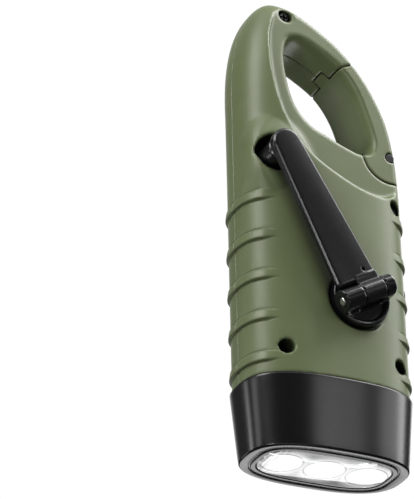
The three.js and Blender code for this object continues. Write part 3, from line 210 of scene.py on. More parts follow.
def band(line, low, high):
    return np.maximum(low - line, line - high)


def eased(share):
    return share * share * (3 - 2 * share)


def rod_y(grid, x, z, radius):
    return np.hypot(grid.x - x, grid.z - z) - radius


def oval(grid, half_x, half_y, power):
    reach = (np.abs(grid.x / half_x) ** power + np.abs(grid.y / half_y) ** power) ** (1 / power)
    return (reach - 1) * min(half_x, half_y)


def crown(grid):
    """The plain outside: an oval section that leans and thins towards the top."""
    z = grid.z
    edge = spline(CROWN_SHARES)
    rise = (z - CROWN_BASE) / (BODY_TOP - CROWN_BASE)
    right = APEX_X + (HALF_WIDTH - APEX_X) * np.interp(rise, edge[:, 1], edge[:, 0])
    spine = np.clip((z - SPINE_BASE) / (BODY_TOP - SPINE_BASE), 0, 1)
    left = APEX_X - (HALF_WIDTH + APEX_X) * (1 - spine ** SPINE_POWER) ** (1 / SPINE_POWER)
    thin = np.clip((z - THIN_BASE) / (BODY_TOP + GAP - THIN_BASE), 0, 1)
    deep = np.maximum(HALF_DEPTH * (1 - thin ** THIN_POWER) ** (1 / THIN_POWER), LEAST_HALF)
    half = np.maximum((right - left) / 2, LEAST_HALF)
    across = np.abs(grid.x - (right + left) / 2) / half
    reach = (across ** CORNER_POWER + (np.abs(grid.y) / deep) ** CORNER_POWER) ** (1 / CORNER_POWER)
    field = evened((reach - 1) * np.minimum(half, deep), grid)
    return meet(meet(field, z - TOP_FLAT, TOP_ROUND), BODY_FOOT - z, FOOT_ROUND)


def facets(grid, field):
    """The flat faces on both sides of the loop, with a sloped step at their foot."""
    edge = spline(FACET_EDGE)
    corners = [[HALF_WIDTH + FACET_FAR, BODY_TOP + FACET_FAR], [edge[0][0] - FACET_FAR, BODY_TOP + FACET_FAR]]
    within = outline_depth(np.vstack([edge, corners]), grid)
    steep = FACET_SLOPE / (HALF_DEPTH - FACET_HALF)
    above = np.abs(grid.y) - FACET_HALF
    step = (within + steep * above) / math.hypot(1, steep)
    return cut(field, meet(-above, -step, FACET_FILLET), FACET_ROUND)


def loop_edge():
    left, right, foot, top = LOOP_BOX
    points = [[left + x * (right - left), foot + z * (top - foot)] for x, z in LOOP_SHARES]
    return spline(points, closed=True, knot=0.5)


def loop_hole(grid, field):
    opening = outline_depth(loop_edge(), grid) - LOOP_WAIST
    squeeze = LOOP_FLARE / LOOP_SOFT
    return evened(meet(field * squeeze, opening, LOOP_FLARE), grid)


def ribs(grid, field):
    """Raised bands round both flanks, with a crease along both edges, which thin out towards their ends."""
    half = CORNER_POWER / 2
    across = np.abs(grid.x / HALF_WIDTH) ** half
    along = np.abs(grid.y / HALF_DEPTH) ** half
    angle = np.arctan2(along, across)
    reach = math.acos(RIB_REACH ** half)
    share = np.clip(angle / reach, 0, 1)
    fade = eased(np.clip((1 - share) / RIB_FADE, 0, 1))
    tall = RIB_TALL / 2 * (RIB_END_TALL + (1 - RIB_END_TALL) * fade)
    for i in range(RIB_COUNT):
        height = RIB_TOP - i * RIB_PITCH
        near = np.abs(grid.axes[2] - height) < RIB_TALL / 2 + 1
        rise = (grid.z[:, :, near] - height) / tall
        offset = np.clip(np.abs(rise), 0, 1)
        bump = (RIB_PROUD - RIB_SLOPE * (1 + rise) / 2) * (1 - offset ** RIB_FLAT_POWER) ** RIB_EDGE_POWER
        from_edge = np.abs(np.abs(grid.z[:, :, near] - height) - tall - RIB_CREASE_HALF / 2)
        crease = RIB_CREASE * np.clip(1 - from_edge / RIB_CREASE_HALF, 0, 1)
        field[:, :, near] -= (bump - crease) * fade
    return field


def knob_place():
    x = CRANK_X - ARM_LENGTH * math.sin(CRANK_TILT) + POCKET_SHIFT
    z = CRANK_Z + ARM_LENGTH * math.cos(CRANK_TILT)
    return x, z


def pocket_reach(grid):
    """Distance in the XZ plane from the line that the knob's pocket is drawn round."""
    x, z = knob_place()
    slide_x, slide_z = -POCKET_SLIDE * math.sin(CRANK_TILT), POCKET_SLIDE * math.cos(CRANK_TILT)
    share = np.clip(((grid.x - x) * slide_x + (grid.z - z) * slide_z) / POCKET_SLIDE ** 2, 0, 1)
    return np.hypot(grid.x - x - share * slide_x, grid.z - z - share * slide_z)


def mound(grid, field):
    """The swelling round the knob's pocket, which fades out before it reaches the other shell."""
    shares = np.array(MOUND_SHARES)
    drop = (grid.y - POCKET_RIM_Y) / MOUND_DEPTH
    wide = np.interp(drop, shares[:, 1], shares[:, 0], right=-2)
    swell = pocket_reach(grid) - (MOUND_RIM + (MOUND_RADIUS - MOUND_RIM) * wide)
    swell = meet(swell, POCKET_RIM_Y - grid.y, MOUND_ROUND)
    limit = oval(grid, HALF_WIDTH, HALF_DEPTH, MOUND_POWER)
    swollen = meet(merge(field, swell, MOUND_BLEND), limit, MOUND_LIMIT)
    share = np.clip((MOUND_END_Y - grid.y) / MOUND_FADE, 0, 1)
    return field + eased(share) * (np.minimum(field, swollen) - field)


def outside(grid):
    field = loop_hole(grid, facets(grid, crown(grid)))
    return mound(grid, ribs(grid, field)) if grid.axes[1][0] < MOUND_END_Y else ribs(grid, field)


def gate_fan(grid, grow):
    fan = np.vstack([
        [[PIVOT_X + GATE_HUB + grow, PIVOT_Z]],
        arc(GATE_TIP + grow, GATE_BACK, GATE_OPEN, 40, *PIVOT),
        arc(GATE_HUB + grow, 180 - GATE_SWING, 180, 14, *PIVOT),
    ])
    return np.minimum(-outline_depth(fan, grid), rod_y(grid, *PIVOT, GATE_HUB + grow))


def tongue(grid, grow):
    start = TONGUE_START - math.degrees(grow / GATE_TIP)
    outer = arc(GATE_TIP + TONGUE + grow, start, GATE_OPEN, 14, *PIVOT)
    inner = arc(GATE_TIP - GAP, start, GATE_OPEN, 14, *PIVOT)
    flat = -outline_depth(np.vstack([outer, inner[::-1]]), grid)
    return np.maximum(flat, np.abs(grid.y) - TONGUE_HALF - grow)


def lug(grid, grow):
    reach = GATE_HUB + LUG_ROOM
    height = np.maximum(grid.z - PIVOT_Z - grow, PIVOT_Z - reach - grid.z)
    foot = np.maximum(np.abs(grid.x - PIVOT_X) - reach, height)
    flat = np.minimum(rod_y(grid, *PIVOT, LUG_RADIUS + grow), foot)
    return np.maximum(flat, np.abs(grid.y) - LUG_HALF - grow)


def swing_room(grid):
    edge = arc(GATE_HUB + LUG_ROOM, 180 - GATE_SWING, 180, 12, *PIVOT)
    sector = np.vstack([[PIVOT], edge])
    return np.maximum(-outline_depth(sector, grid), np.abs(grid.y) - LUG_HALF - GAP)


def cap_inside(z):
    share = z / CAP["height"]
    return [low + (high - low) * share - CAP["wall"] for low, high in zip(CAP["rim"], CAP["top"])]


def spring_room(grid):
    """A pit round the coil of the gate's spring and a channel for its leg."""
    sides = np.abs(grid.y) - SPRING_SPAN / 2 - SPRING_ROOM
    pit = np.maximum(rod_y(grid, *PIVOT, SPRING_COIL + 2 * SPRING_ROOM), sides)
    leg = np.maximum(np.abs(grid.x - PIVOT_X - SPRING_COIL) - SPRING_ROOM, sides)
    foot = PIVOT_Z - SPRING_LEG - SPRING_ROOM
    leg = np.maximum(leg, np.maximum(foot - grid.z, grid.z - PIVOT_Z - LUG_RADIUS - LUG_ROOM))
    return np.minimum(pit, leg)


def button_hole(grid):
    centre, wide, tall, corner = BUTTON
    y_out = np.abs(grid.y) - (wide / 2 + GAP - corner)
    z_out = np.abs(grid.z - centre) - (tall / 2 + GAP - corner)
    outer = np.hypot(np.maximum(y_out, 0), np.maximum(z_out, 0))
    hole = outer + np.minimum(np.maximum(y_out, z_out), 0) - corner
    return meet(hole, CAVITY[0] - grid.x - BUTTON_INSET)


def button_room(grid):
    centre, wide, tall, _ = BUTTON
    side = CAVITY[0]
    room = np.maximum(np.abs(grid.y) - wide / 2 - BUTTON_ROOM,
                      np.abs(grid.z - centre) - tall / 2 - BUTTON_ROOM)
    return np.maximum(room, np.maximum(side - BUTTON_BACK - grid.x, grid.x - side + GAP))


def hollowed(grid, field):
    """Adds the spigot and cuts what both shells share."""
    wide, deep = (value - GAP for value in cap_inside(SPIGOT_FOOT))
    cavity_x, cavity_y, foot, top = CAVITY
    tube = meet(oval(grid, wide, deep, CORNER_POWER), meet(SPIGOT_FOOT - grid.z, grid.z - foot), SOFT)
    bore = oval(grid, wide - SPIGOT_WALL, deep - SPIGOT_WALL, CORNER_POWER)
    low = meet(bore, np.abs(grid.z - SPIGOT_FOOT) - (foot - SPIGOT_FOOT) - 1)
    room = meet(oval(grid, cavity_x, cavity_y, CORNER_POWER), meet(foot - grid.z, grid.z - top))
    field = cut(cut(merge(field, tube, FILLET), low), room, SOFT)
    gate_room = cut(np.minimum(gate_fan(grid, GAP), tongue(grid, GAP)), lug(grid, 0))
    field = cut(field, gate_room, SEAM)
    field = cut(field, rod_y(grid, *PIVOT, PIN_RADIUS + GAP), FINE)
    field = cut(field, spring_room(grid), TIGHT)
    field = cut(field, button_hole(grid), SOFT)
    return cut(field, button_room(grid))


def rear_field(grid):
    body = outside(grid)
    field = hollowed(grid, body)
    for x, z in SCREWS[2:]:
        boss = meet(rod_y(grid, x, z, WELL_RADIUS + BOSS_WALL), -HALF_DEPTH + BOSS_START - grid.y)
        field = merge(field, np.maximum(boss, body + LEAST_COVER), FILLET)
    inner = -CAVITY[1] - GAP
    for x, z in GEAR_POSTS:
        post = np.maximum(rod_y(grid, x, z, GEAR_POST), band(grid.y, inner, GEAR_PLATE_Y - GAP))
        field = merge(field, np.maximum(post, body + LEAST_COVER), FILLET)
    radius, low, high = GEAR_WELL
    field = cut(field, np.maximum(rod_y(grid, CRANK_X, CRANK_Z, radius), band(grid.y, low, high)), TIGHT)
    x, z, radius, seat = IDLER_SEAT
    field = cut(field, np.maximum(rod_y(grid, x, z, radius), seat - grid.y), TIGHT)
    recess = meet(rod_y(grid, CRANK_X, CRANK_Z, RECESS_RADIUS), grid.y - RECESS_Y)
    field = cut(field, recess, RECESS_ROUND)
    field = cut(field, rod_y(grid, CRANK_X, CRANK_Z, BUSH_HOLE))
    for x, z in SCREWS:
        field = cut(field, meet(rod_y(grid, x, z, WELL_RADIUS), grid.y - WELL_Y), SEAM)
        field = cut(field, rod_y(grid, x, z, SHANK_HOLE))
    draft = POCKET_DRAFT * np.clip((POCKET_FLOOR_Y - grid.y) / POCKET_DEPTH, 0, 1)
    pocket = meet(pocket_reach(grid) - POCKET_RADIUS - draft, grid.y - POCKET_FLOOR_Y, POCKET_FLOOR_ROUND)
    field = cut(field, pocket, POCKET_RIM_ROUND)
    return meet(field, grid.y + PARTING, PARTING)


def panel_edge(grow):
    half, top, rise = PANEL_HALF + grow, PANEL_SHOULDER + grow, PANEL_CROWN - PANEL_SHOULDER
    radius = (half ** 2 + rise ** 2) / (2 * rise)
    span = math.degrees(math.asin((half - PANEL_CORNER / 2) / radius))
    foot = PANEL_FOOT - grow + PANEL_CORNER
    return np.vstack([
        arc(PANEL_CORNER, -90, 0, CORNER_STEPS, half - PANEL_CORNER, foot),
        [[half, top - PANEL_CORNER / 2]],
        arc(radius, 90 - span, 90 + span, 30, 0, top + rise - radius),
        [[-half, top - PANEL_CORNER / 2]],
        arc(PANEL_CORNER, 180, 270, CORNER_STEPS, PANEL_CORNER - half, foot),
    ])


def front_field(grid):
    body = outside(grid)
    field = hollowed(grid, body)
    inner = CAVITY[1] + GAP
    for x, z in BOARD_POSTS:
        post = np.maximum(rod_y(grid, x, z, BOARD_POST), band(grid.y, BOARD_Y + GAP, inner))
        field = merge(field, post, FILLET)
    for x, z in SCREWS[2:]:
        field = merge(field, np.maximum(rod_y(grid, x, z, SCREW_POST), body + LEAST_COVER), FILLET)
    x, z, radius, low = CARRIER
    field = merge(field, np.maximum(rod_y(grid, x, z, radius), band(grid.y, low, inner)), FILLET)
    middle, half, depth, seat, centre = CRADLE
    cradle = np.maximum(np.abs(np.abs(grid.x) - middle) - half,
                        np.maximum(band(grid.y, depth, inner), np.abs(grid.z - centre) - seat))
    cell = np.hypot(grid.y, grid.z - centre) - seat - GAP
    field = merge(field, cut(cradle, cell, TIGHT), FILLET)
    recess = meet(-outline_depth(panel_edge(GAP), grid), PANEL_SEAT_Y - grid.y)
    field = cut(field, recess, SEAM)
    for x, z in SCREWS:
        field = cut(field, meet(rod_y(grid, x, z, SHANK_HOLE), grid.y - SHANK_END))
    return meet(field, PARTING - grid.y, PARTING)


def gate_field(grid):
    arm = meet(outside(grid), np.minimum(gate_fan(grid, 0), tongue(grid, 0)), SEAM)
    arm = cut(arm, lug(grid, GAP), FINE)
    arm = cut(arm, swing_room(grid), FINE)
    return cut(arm, rod_y(grid, *PIVOT, PIN_RADIUS + PIN_ROOM), SOFT)


def surface_net(field, grid):
    """Closed quad mesh where the field is zero: points in millimetres and corner indices."""
    axes, inside = grid.axes, field < 0
    cells = tuple(n - 1 for n in field.shape)
    total = np.zeros(cells + (3,), np.float32)
    count = np.zeros(cells, np.float32)
    crossings = []

    def lined(values, axis):
        return values.reshape([-1 if a == axis else 1 for a in range(3)])

    for axis in range(3):
        low = [slice(None)] * 3
        high = [slice(None)] * 3
        low[axis], high[axis] = slice(None, -1), slice(1, None)
        first, second = field[tuple(low)], field[tuple(high)]
        crosses = inside[tuple(low)] != inside[tuple(high)]
        crossings.append(crosses)
        share = np.where(crosses, first / np.where(crosses, first - second, 1), 0)
        along = lined(axes[axis][:-1], axis) + share * lined(np.diff(axes[axis]), axis)
        others = [a for a in range(3) if a != axis]
        for corner in itertools.product((0, 1), repeat=2):
            take = [slice(None)] * 3
            for other, shift in zip(others, corner):
                take[other] = slice(shift, field.shape[other] - 1 + shift)
            hit = crosses[tuple(take)].astype(np.float32)
            count += hit
            total[..., axis] += hit * along[tuple(take)]
            for other, shift in zip(others, corner):
                line = axes[other][shift:field.shape[other] - 1 + shift]
                total[..., other] += hit * lined(line, other)
    used = count > 0
    number = np.full(cells, -1, np.int64)
    number[used] = np.arange(int(used.sum()))
    points = total[used] / count[used][:, None]
    quads = []
    for axis, crosses in enumerate(crossings):
        b, c = (axis + 1) % 3, (axis + 2) % 3
        where = np.argwhere(crosses)
        keep = (where[:, b] > 0) & (where[:, c] > 0)
        keep &= (where[:, b] < cells[b]) & (where[:, c] < cells[c])
        where = where[keep]
        corners = []
        for back_b, back_c in ((1, 1), (0, 1), (0, 0), (1, 0)):
            cell = where.copy()
            cell[:, b] -= back_b
            cell[:, c] -= back_c
            corners.append(number[tuple(cell.T)])
        quad = np.stack(corners, axis=1)
        outward = inside[tuple(where.T)]
        quads.append(np.where(outward[:, None], quad, quad[:, ::-1]))
    return points, np.vstack(quads)


def read_at(values, grid, points):
    """Values of a grid of vectors at points, blended between grid points."""
    index, share = [], []
    for axis, line in enumerate(grid.axes):
        i = np.clip(np.searchsorted(line, points[:, axis]) - 1, 0, len(line) - 2)
        index.append(i)
        share.append((points[:, axis] - line[i]) / (line[i + 1] - line[i]))
    total = 0
    for corner in itertools.product((0, 1), repeat=3):
        weight = np.ones(len(points))
        for part, high in zip(share, corner):
            weight = weight * (part if high else 1 - part)
        total = total + weight[:, None] * values[tuple(i + high for i, high in zip(index, corner))]
    return total


def settled(points, field, grid):
    """The points moved onto the surface along the field's slope."""
    values = np.stack([field, *np.gradient(field, *grid.axes)], axis=-1)
    for _ in range(2):
        found = read_at(values, grid, points)
        slope = found[:, 1:]
        step = found[:, :1] * slope / np.maximum((slope ** 2).sum(1, keepdims=True), LEAST_SLOPE)
        points = points - np.clip(step, -SETTLE_REACH, SETTLE_REACH)
    return points


def rounded_box(left, right, foot, top, corner):
    return np.vstack([
        arc(corner, -90, 0, CORNER_STEPS, right - corner, foot + corner),
        arc(corner, 0, 90, CORNER_STEPS, right - corner, top - corner),
        arc(corner, 90, 180, CORNER_STEPS, left + corner, top - corner),
        arc(corner, 180, 270, CORNER_STEPS, left + corner, foot + corner),
    ])


def rod_x(grid, radius, low, high, soft=SHARP):
    return meet(np.hypot(grid.y, grid.z) - radius, band(grid.x, low, high), soft)


def slab_y(outline, grid, low, high, soft=SHARP):
    return meet(-outline_depth(outline, grid), band(grid.y, low, high), soft)


def frame_field(grid):
    """The solar panel's frame: a base, a raised rim on it and the well for the cell."""
    seat = PANEL_SEAT_Y + GAP
    base = slab_y(panel_edge(0), grid, seat, PANEL_FACE_Y - PANEL_STEP, PANEL_ROUND)
    rim = slab_y(rounded_box(*PANEL_RIM), grid, seat, PANEL_FACE_Y, PANEL_ROUND)
    well = slab_y(rounded_box(*CELL_WELL), grid, PANEL_FACE_Y - CELL_DEEP, PANEL_FACE_Y + PANEL_CLEAR)
    return cut(merge(base, rim, FILLET), well, CELL_ROUND)


def arm_outline():
    left = math.degrees(math.atan2(-ARM_ROOT[0] - ARM_TIP, ARM_LENGTH - ARM_START))
    right = math.degrees(math.atan2(ARM_ROOT[1] - ARM_TIP, ARM_LENGTH - ARM_START))
    foot = ARM_START + ARM_CORNER
    return np.vstack([
        arc(ARM_CORNER, -90, 0, CORNER_STEPS, ARM_ROOT[1] - ARM_CORNER, foot),
        arc(ARM_TIP, right, 180 - left, 40, 0, ARM_LENGTH),
        arc(ARM_CORNER, 180, 270, CORNER_STEPS, ARM_ROOT[0] + ARM_CORNER, foot),
    ])


def arm_field(grid):
    """The crank arm, on the hub's own axes."""
    half = ARM_THICK / 2
    within = -outline_depth(arm_outline(), grid)
    faces = np.abs(grid.y) - half
    crowned = faces + ARM_CROWN * (grid.x / ARM_TIP) ** 2
    chamfer = (within + crowned + ARM_BEVEL) / math.sqrt(2)
    plate = meet(meet(within, crowned), chamfer, FINE)
    height = np.maximum(-grid.z, grid.z - ARM_START - ARM_CORNER)
    neck = np.maximum(band(grid.x, *ARM_KNUCKLE), np.maximum(faces, height))
    knuckle = rod_x(grid, KNUCKLE, *ARM_KNUCKLE, KNUCKLE_ROUND)
    arm = merge(merge(plate, neck, SOFT), knuckle, SOFT)
    arm = cut(arm, rod_x(grid, PIN + RUNNING_GAP, -BORE_HALF, BORE_HALF), FINE)
    seat = np.maximum(rod_y(grid, 0, ARM_LENGTH, AXLE + AXLE_SEAT), AXLE_SKIN - half - grid.y)
    x, z, radius, depth = DIMPLE
    dimple = np.maximum(rod_y(grid, x, z, radius), grid.y - depth + half)
    return cut(cut(arm, seat, TIGHT), dimple, FINE)


def hub_field(grid):
    """The crank hub: a dished disc on a shaft with two ears, on its own axes."""
    back, lip, dish, end = (y - HINGE_Y for y in HUB_YS)
    slope, flat, soft = HUB_LIP
    disc = turned([
        [-1, dish], [HUB - slope, dish], [HUB - flat, lip], [HUB - soft, lip], [HUB, lip + soft], [HUB, back],
        [SHAFT, back], [SHAFT, end], [-1, end],
    ], grid)
    ears = None
    for low, high in ((BARREL[0], ARM_KNUCKLE[0] - GAP), (ARM_KNUCKLE[1] + GAP, BARREL[1])):
        web = np.maximum(band(grid.x, low, high), band(grid.y, 0, dish + GAP))
        web = np.maximum(web, np.abs(grid.z) - KNUCKLE)
        ear = np.minimum(rod_x(grid, KNUCKLE, low, high, SEAM), web)
        ears = ear if ears is None else np.minimum(ears, ear)
    skirt = np.maximum(HUB - np.hypot(grid.x, grid.z), lip - soft - grid.y)
    hub = merge(cut(ears, skirt, TIGHT), disc, SEAM)
    return cut(hub, rod_x(grid, PIN + RUNNING_GAP, -BORE_HALF, BORE_HALF), FINE)


def knob_field(grid):
    start, end = ARM_THICK / 2 + GAP, ARM_THICK / 2 + GAP + KNOB_LONG
    body = turned([
        [-1, start], [KNOB - KNOB_CHAMFER, start], [KNOB, start + KNOB_CHAMFER], [KNOB, end - KNOB_CHAMFER],
        [KNOB - KNOB_CHAMFER, end], [-1, end],
    ], grid, 0, ARM_LENGTH)
    head = np.maximum(rod_y(grid, 0, ARM_LENGTH, AXLE_HEAD + GAP), end - AXLE_HEAD_DEEP - grid.y)
    return cut(body, np.minimum(rod_y(grid, 0, ARM_LENGTH, AXLE + RUNNING_GAP), head), FINE)


def pin_field(grid):
    return rod_x(grid, PIN, BARREL[0] - PIN_PROUD, BARREL[1] + PIN_PROUD, PIN_ROUND)


def spread(low, high, step):
    return np.linspace(low, high, int(math.ceil((high - low) / step)) + 1)


def parted(side):
    """Grid lines across one shell, closer together near the plane where it meets the other."""
    lines = np.concatenate([PARTED_LINES, spread(1.0, 17.4, SHELL_STEP)])
    return lines if side > 0 else -lines[::-1]


def up_the_body():
    """Grid lines up a shell, closer together at the edges of the ribs."""
    lines = spread(13, 156.6, SHELL_STEP)
    edges = [RIB_TOP - i * RIB_PITCH + side * RIB_TALL / 2 for i in range(RIB_COUNT) for side in (-1, 1)]
    for edge in edges:
        lines = lines[np.abs(lines - edge) > RIB_EDGE_ROOM]
        lines = np.concatenate([lines, edge + RIB_EDGE_LINES])
    return np.sort(lines)


def moulding(name, field_of, axes, body, node, slot, material, tilted=False):
    """A smooth skin over a field's zero surface, in place of a CAD node."""
    grid = Grid(*axes)
    field = field_of(grid).astype(np.float32)
    points, quads = surface_net(field, grid)
    points = settled(points, field, grid)
    if tilted:
        lean = np.array([[math.cos(CRANK_TILT), 0, -math.sin(CRANK_TILT)], [0, 1, 0],
                         [math.sin(CRANK_TILT), 0, math.cos(CRANK_TILT)]])
        points = points @ lean.T + np.array([CRANK_X, HINGE_Y, CRANK_Z])
    return piece(name, points, quads.tolist(), body, node, slot, material)


def placed(name, data):
    made = bpy.data.objects.new(name, data)
    bpy.context.scene.collection.objects.link(made)
    return made


def piece(name, points, faces, body, node, slot, material):
    mesh = bpy.data.meshes.new(name)
    mesh.from_pydata((np.asarray(points) * MM).tolist(), [], faces)
    mesh.validate()
    mesh.shade_smooth()
    mesh.materials.append(material)
    made = placed(name, mesh)
    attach(made, body)
    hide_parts(node)
    return made


def ring(half_x, half_y, power, height):
    angle = np.linspace(0, 2 * math.pi, OVAL_STEPS, endpoint=False)
    across, along = np.cos(angle), np.sin(angle)
    return np.stack([
        half_x * np.sign(across) * np.abs(across) ** (2 / power),
        half_y * np.sign(along) * np.abs(along) ** (2 / power),
        np.full(OVAL_STEPS, height),
    ], axis=1)


def lofted(rings, closed):
    """Points and faces of a skin through oval rings, a closed ring of rings or one with flat ends."""
    points = np.vstack([ring(*values) for values in rings])
    count = OVAL_STEPS
    faces = []
    for i in range(len(rings) if closed else len(rings) - 1):
        low, high = i * count, ((i + 1) % len(rings)) * count
        for j in range(count):
            k = (j + 1) % count
            faces.append([low + j, low + k, high + k, high + j])
    if not closed:
        faces.append(list(reversed(range(count))))
        faces.append([(len(rings) - 1) * count + j for j in range(count)])
    return points, faces


def quarter_turn():
    """Shares of a rounded edge: how far in from the side and how high from the foot."""
    angles = np.radians(np.linspace(0, 90, ROUND_STEPS + 1))
    return [(1 - math.sin(a), 1 - math.cos(a)) for a in angles]


def window_ring(grow, z, gap=0.0):
    return (WINDOW[0] - gap + grow, WINDOW[1] - gap + grow, WINDOW_POWER, z)


def cap_rings():
    """Rings round the cap's wall: window edge, groove, rounded rim, outside, mouth, inside and floor."""
    (rim_x, rim_y), (top_x, top_y) = CAP["rim"], CAP["top"]
    height, wall, floor, soft = CAP["height"], CAP["wall"], CAP["floor"], CAP["round"]
    rings = [window_ring(0, 0.25), window_ring(0.08, 0.08), window_ring(0.25, 0.0)]
    groove = ((-0.12, 0), (0, 0.1), (0.05, GROOVE_DEPTH - 0.1), (0.15, GROOVE_DEPTH))
    rings += [window_ring(GROOVE_INSET + step, z) for step, z in groove]
    rings += [window_ring(GROOVE_INSET + GROOVE_WIDTH - step, z) for step, z in groove[::-1]]
    rings += [(rim_x - soft * inset, rim_y - soft * inset, CORNER_POWER, soft * rise)
              for inset, rise in quarter_turn()]

    def side(z, inward=0.0):
        share = z / height
        return (rim_x + (top_x - rim_x) * share - inward, rim_y + (top_y - rim_y) * share - inward,
                CORNER_POWER, z)

    rings += [side(z) for z in np.linspace(3, height - 0.6, 12)]
    rings += [side(height - 0.1, 0.01), (top_x - 0.1, top_y - 0.1, CORNER_POWER, height)]
    rings += [side(height, wall - FINE), side(height - FINE, wall)]
    rings += [side(z, wall) for z in np.linspace(height - 1, floor + 0.6, 4)]
    rings += [side(floor + 0.2, wall + 0.1), side(floor, wall + 0.5)]
    rings += [window_ring(FINE, floor), window_ring(0, floor - FINE)]
    return rings


def lens_rings():
    """Rings up the lens: its face, its side through the cap's floor and its flange behind it."""
    seat, flange = CAP["floor"] + GAP, GAP + LENS_FLANGE
    steps = ((-0.3, 0.0), (-0.08, 0.07), (0, 0.25), (0, seat), (flange, seat), (flange, seat + LENS_THICK))
    return [window_ring(grow, z, GAP) for grow, z in steps]


def scaled(colour, factor):
    return tuple(min(1.0, c * factor) for c in colour[:3]) + (1.0,)


class Look:
    """A node material under construction."""

    def __init__(self, name):
        self.material = bpy.data.materials.new(name)
        self.material.use_nodes = True
        self.tree = self.material.node_tree
        self.tree.nodes.clear()
        self.out = self.tree.nodes.new("ShaderNodeOutputMaterial")
        self.place = self.add("TexCoord").outputs["Object"]

    def add(self, kind, inputs=None, **settings):
        node = self.tree.nodes.new("ShaderNode" + kind)
        for key, value in settings.items():
            setattr(node, key, value)
        for key, value in (inputs or {}).items():
            if isinstance(value, bpy.types.NodeSocket):
                self.tree.links.new(value, node.inputs[key])
            else:
                node.inputs[key].default_value = value
        return node

    def math(self, operation, first, second=0.5, clamp=False):
        return self.add("Math", {0: first, 1: second},
                        operation=operation, use_clamp=clamp).outputs[0]

    def times(self, first, second):
        return self.math("MULTIPLY", first, second)

    def plus(self, first, second, clamp=False):
        return self.math("ADD", first, second, clamp)

    def span(self, value, low, high, start=0.0, end=1.0):
        return self.add("MapRange", {
            "Value": value, "From Min": low, "From Max": high, "To Min": start, "To Max": end,
        }, interpolation_type="SMOOTHSTEP").outputs["Result"]

    def noise(self, size_mm, detail, rough, stretch=(1, 1, 1), shift=0.0):
        vector = self.add("Mapping", {
            "Vector": self.place,
            "Scale": tuple(1 / (size_mm * MM * s) for s in stretch),
            "Location": (shift, shift * 2, shift * 3),
        }).outputs["Vector"]
        return self.add("TexNoise", {
            "Vector": vector, "Scale": 1.0, "Detail": detail, "Roughness": rough,
        }).outputs["Fac"]

    def mix(self, share, first, second):
        node = self.add("Mix", data_type="RGBA")
        sockets = node.inputs["Factor"], node.inputs[6], node.inputs[7]
        for socket, value in zip(sockets, (share, first, second)):
            if isinstance(value, bpy.types.NodeSocket):
                self.tree.links.new(value, socket)
            else:
                socket.default_value = value
        return node.outputs[2]

    def rounded(self, radius_mm):
        return self.add("Bevel", {"Radius": radius_mm * MM}, samples=6).outputs["Normal"]

    def measure(self, operation, first, second):
        return self.add("VectorMath", {0: first, 1: second}, operation=operation).outputs["Value"]

    def edge(self, radius_mm):
        """Where a plain mesh has an edge."""
        true = self.add("NewGeometry").outputs["Normal"]
        facing = self.measure("DOT_PRODUCT", self.rounded(radius_mm), true)
        return self.span(self.math("SUBTRACT", 1.0, facing), 0.02, 0.25)

    def crest(self):
        """Where a dense smooth mesh has an outward edge."""
        point = self.add("NewGeometry").outputs["Pointiness"]
        return self.span(point, 0.52, 0.62)

    def bump(self, height, depth_mm, normal=None):
        inputs = {"Height": height, "Strength": 1.0, "Distance": depth_mm * MM}
        if normal is not None:
            inputs["Normal"] = normal
        return self.add("Bump", inputs).outputs["Normal"]

    def blend(self, share, first, second):
        mixed = self.add("MixShader", {0: share})
        self.tree.links.new(first.outputs[0], mixed.inputs[1])
        self.tree.links.new(second.outputs[0], mixed.inputs[2])
        return mixed

    def finish(self, shader):
        self.tree.links.new(shader.outputs[0], self.out.inputs["Surface"])
        return self.material

    def principled(self, inputs):
        return self.finish(self.add("BsdfPrincipled", inputs))


def moulded(name, colour, rough, grain_depth=0.005, wear=None, skin=False, patchy=0.06, painted_shade_reach=0.0):
    """Injection moulded plastic: fine texture, uneven sheen, slightly rubbed edges, and optional painted
    shade that darkens the colour in hollows, wells and under nearby parts.
    """
    look = Look(name)
    broad = look.noise(14, 3, 0.6)
    middle = look.noise(2.2, 4, 0.6, shift=3.0)
    fine = look.noise(0.35, 2, 0.5, shift=7.0)
    tone = look.mix(look.span(broad, 0.3, 0.7), scaled(colour, 0.95), scaled(colour, 1.04))
    sheen = look.plus(rough - patchy, look.times(middle, 2 * patchy))
    if wear is not None:
        edge = look.crest() if skin else look.edge(0.5)
        rubbed = look.times(edge, look.span(look.noise(1.6, 4, 0.7, shift=11.0), 0.45, 0.75))
        tone = look.mix(look.times(rubbed, 0.3), tone, wear)
        sheen = look.plus(sheen, look.times(rubbed, 0.08))
    # Painted shade: ambient occlusion darkens the base colour nearly to black in hollows, in the screw wells
    # and the loop, and under the crank arm.
    if painted_shade_reach:
        occlusion_shade = look.add("AmbientOcclusion", {"Distance": painted_shade_reach * MM}, samples=8).outputs["AO"]
        tone = look.mix(look.span(occlusion_shade, 0.25, 0.85), scaled(colour, 0.1), tone)
    normal = look.bump(fine, grain_depth, None if skin else look.rounded(0.3))
    return look.principled({"Base Color": tone, "Roughness": sheen, "Normal": normal})


def metal(name, colour, rough, skin=False):
    """Turned metal with fine marks, smudges and bright edges."""
    look = Look(name)
    marks = look.noise(0.15, 2, 0.5)
    smudge = look.noise(3, 4, 0.6, shift=5.0)
    tone = look.mix(look.span(smudge, 0.35, 0.7), scaled(colour, 0.8), colour)
    sheen = look.plus(rough, look.times(smudge, 0.15))
    normal = look.bump(marks, 0.003, None if skin else look.rounded(0.15))
    return look.principled({"Base Color": tone, "Metallic": 1.0, "Roughness": sheen, "Normal": normal})


def glowing(name, colour, strength):
    look = Look(name)
    haze = look.noise(1.2, 3, 0.5)
    glow = look.times(look.span(haze, 0.2, 0.8, 0.85, 1.1), strength)
    return look.principled({
        "Base Color": colour, "Roughness": 0.1, "Emission Color": colour, "Emission Strength": glow,
    })


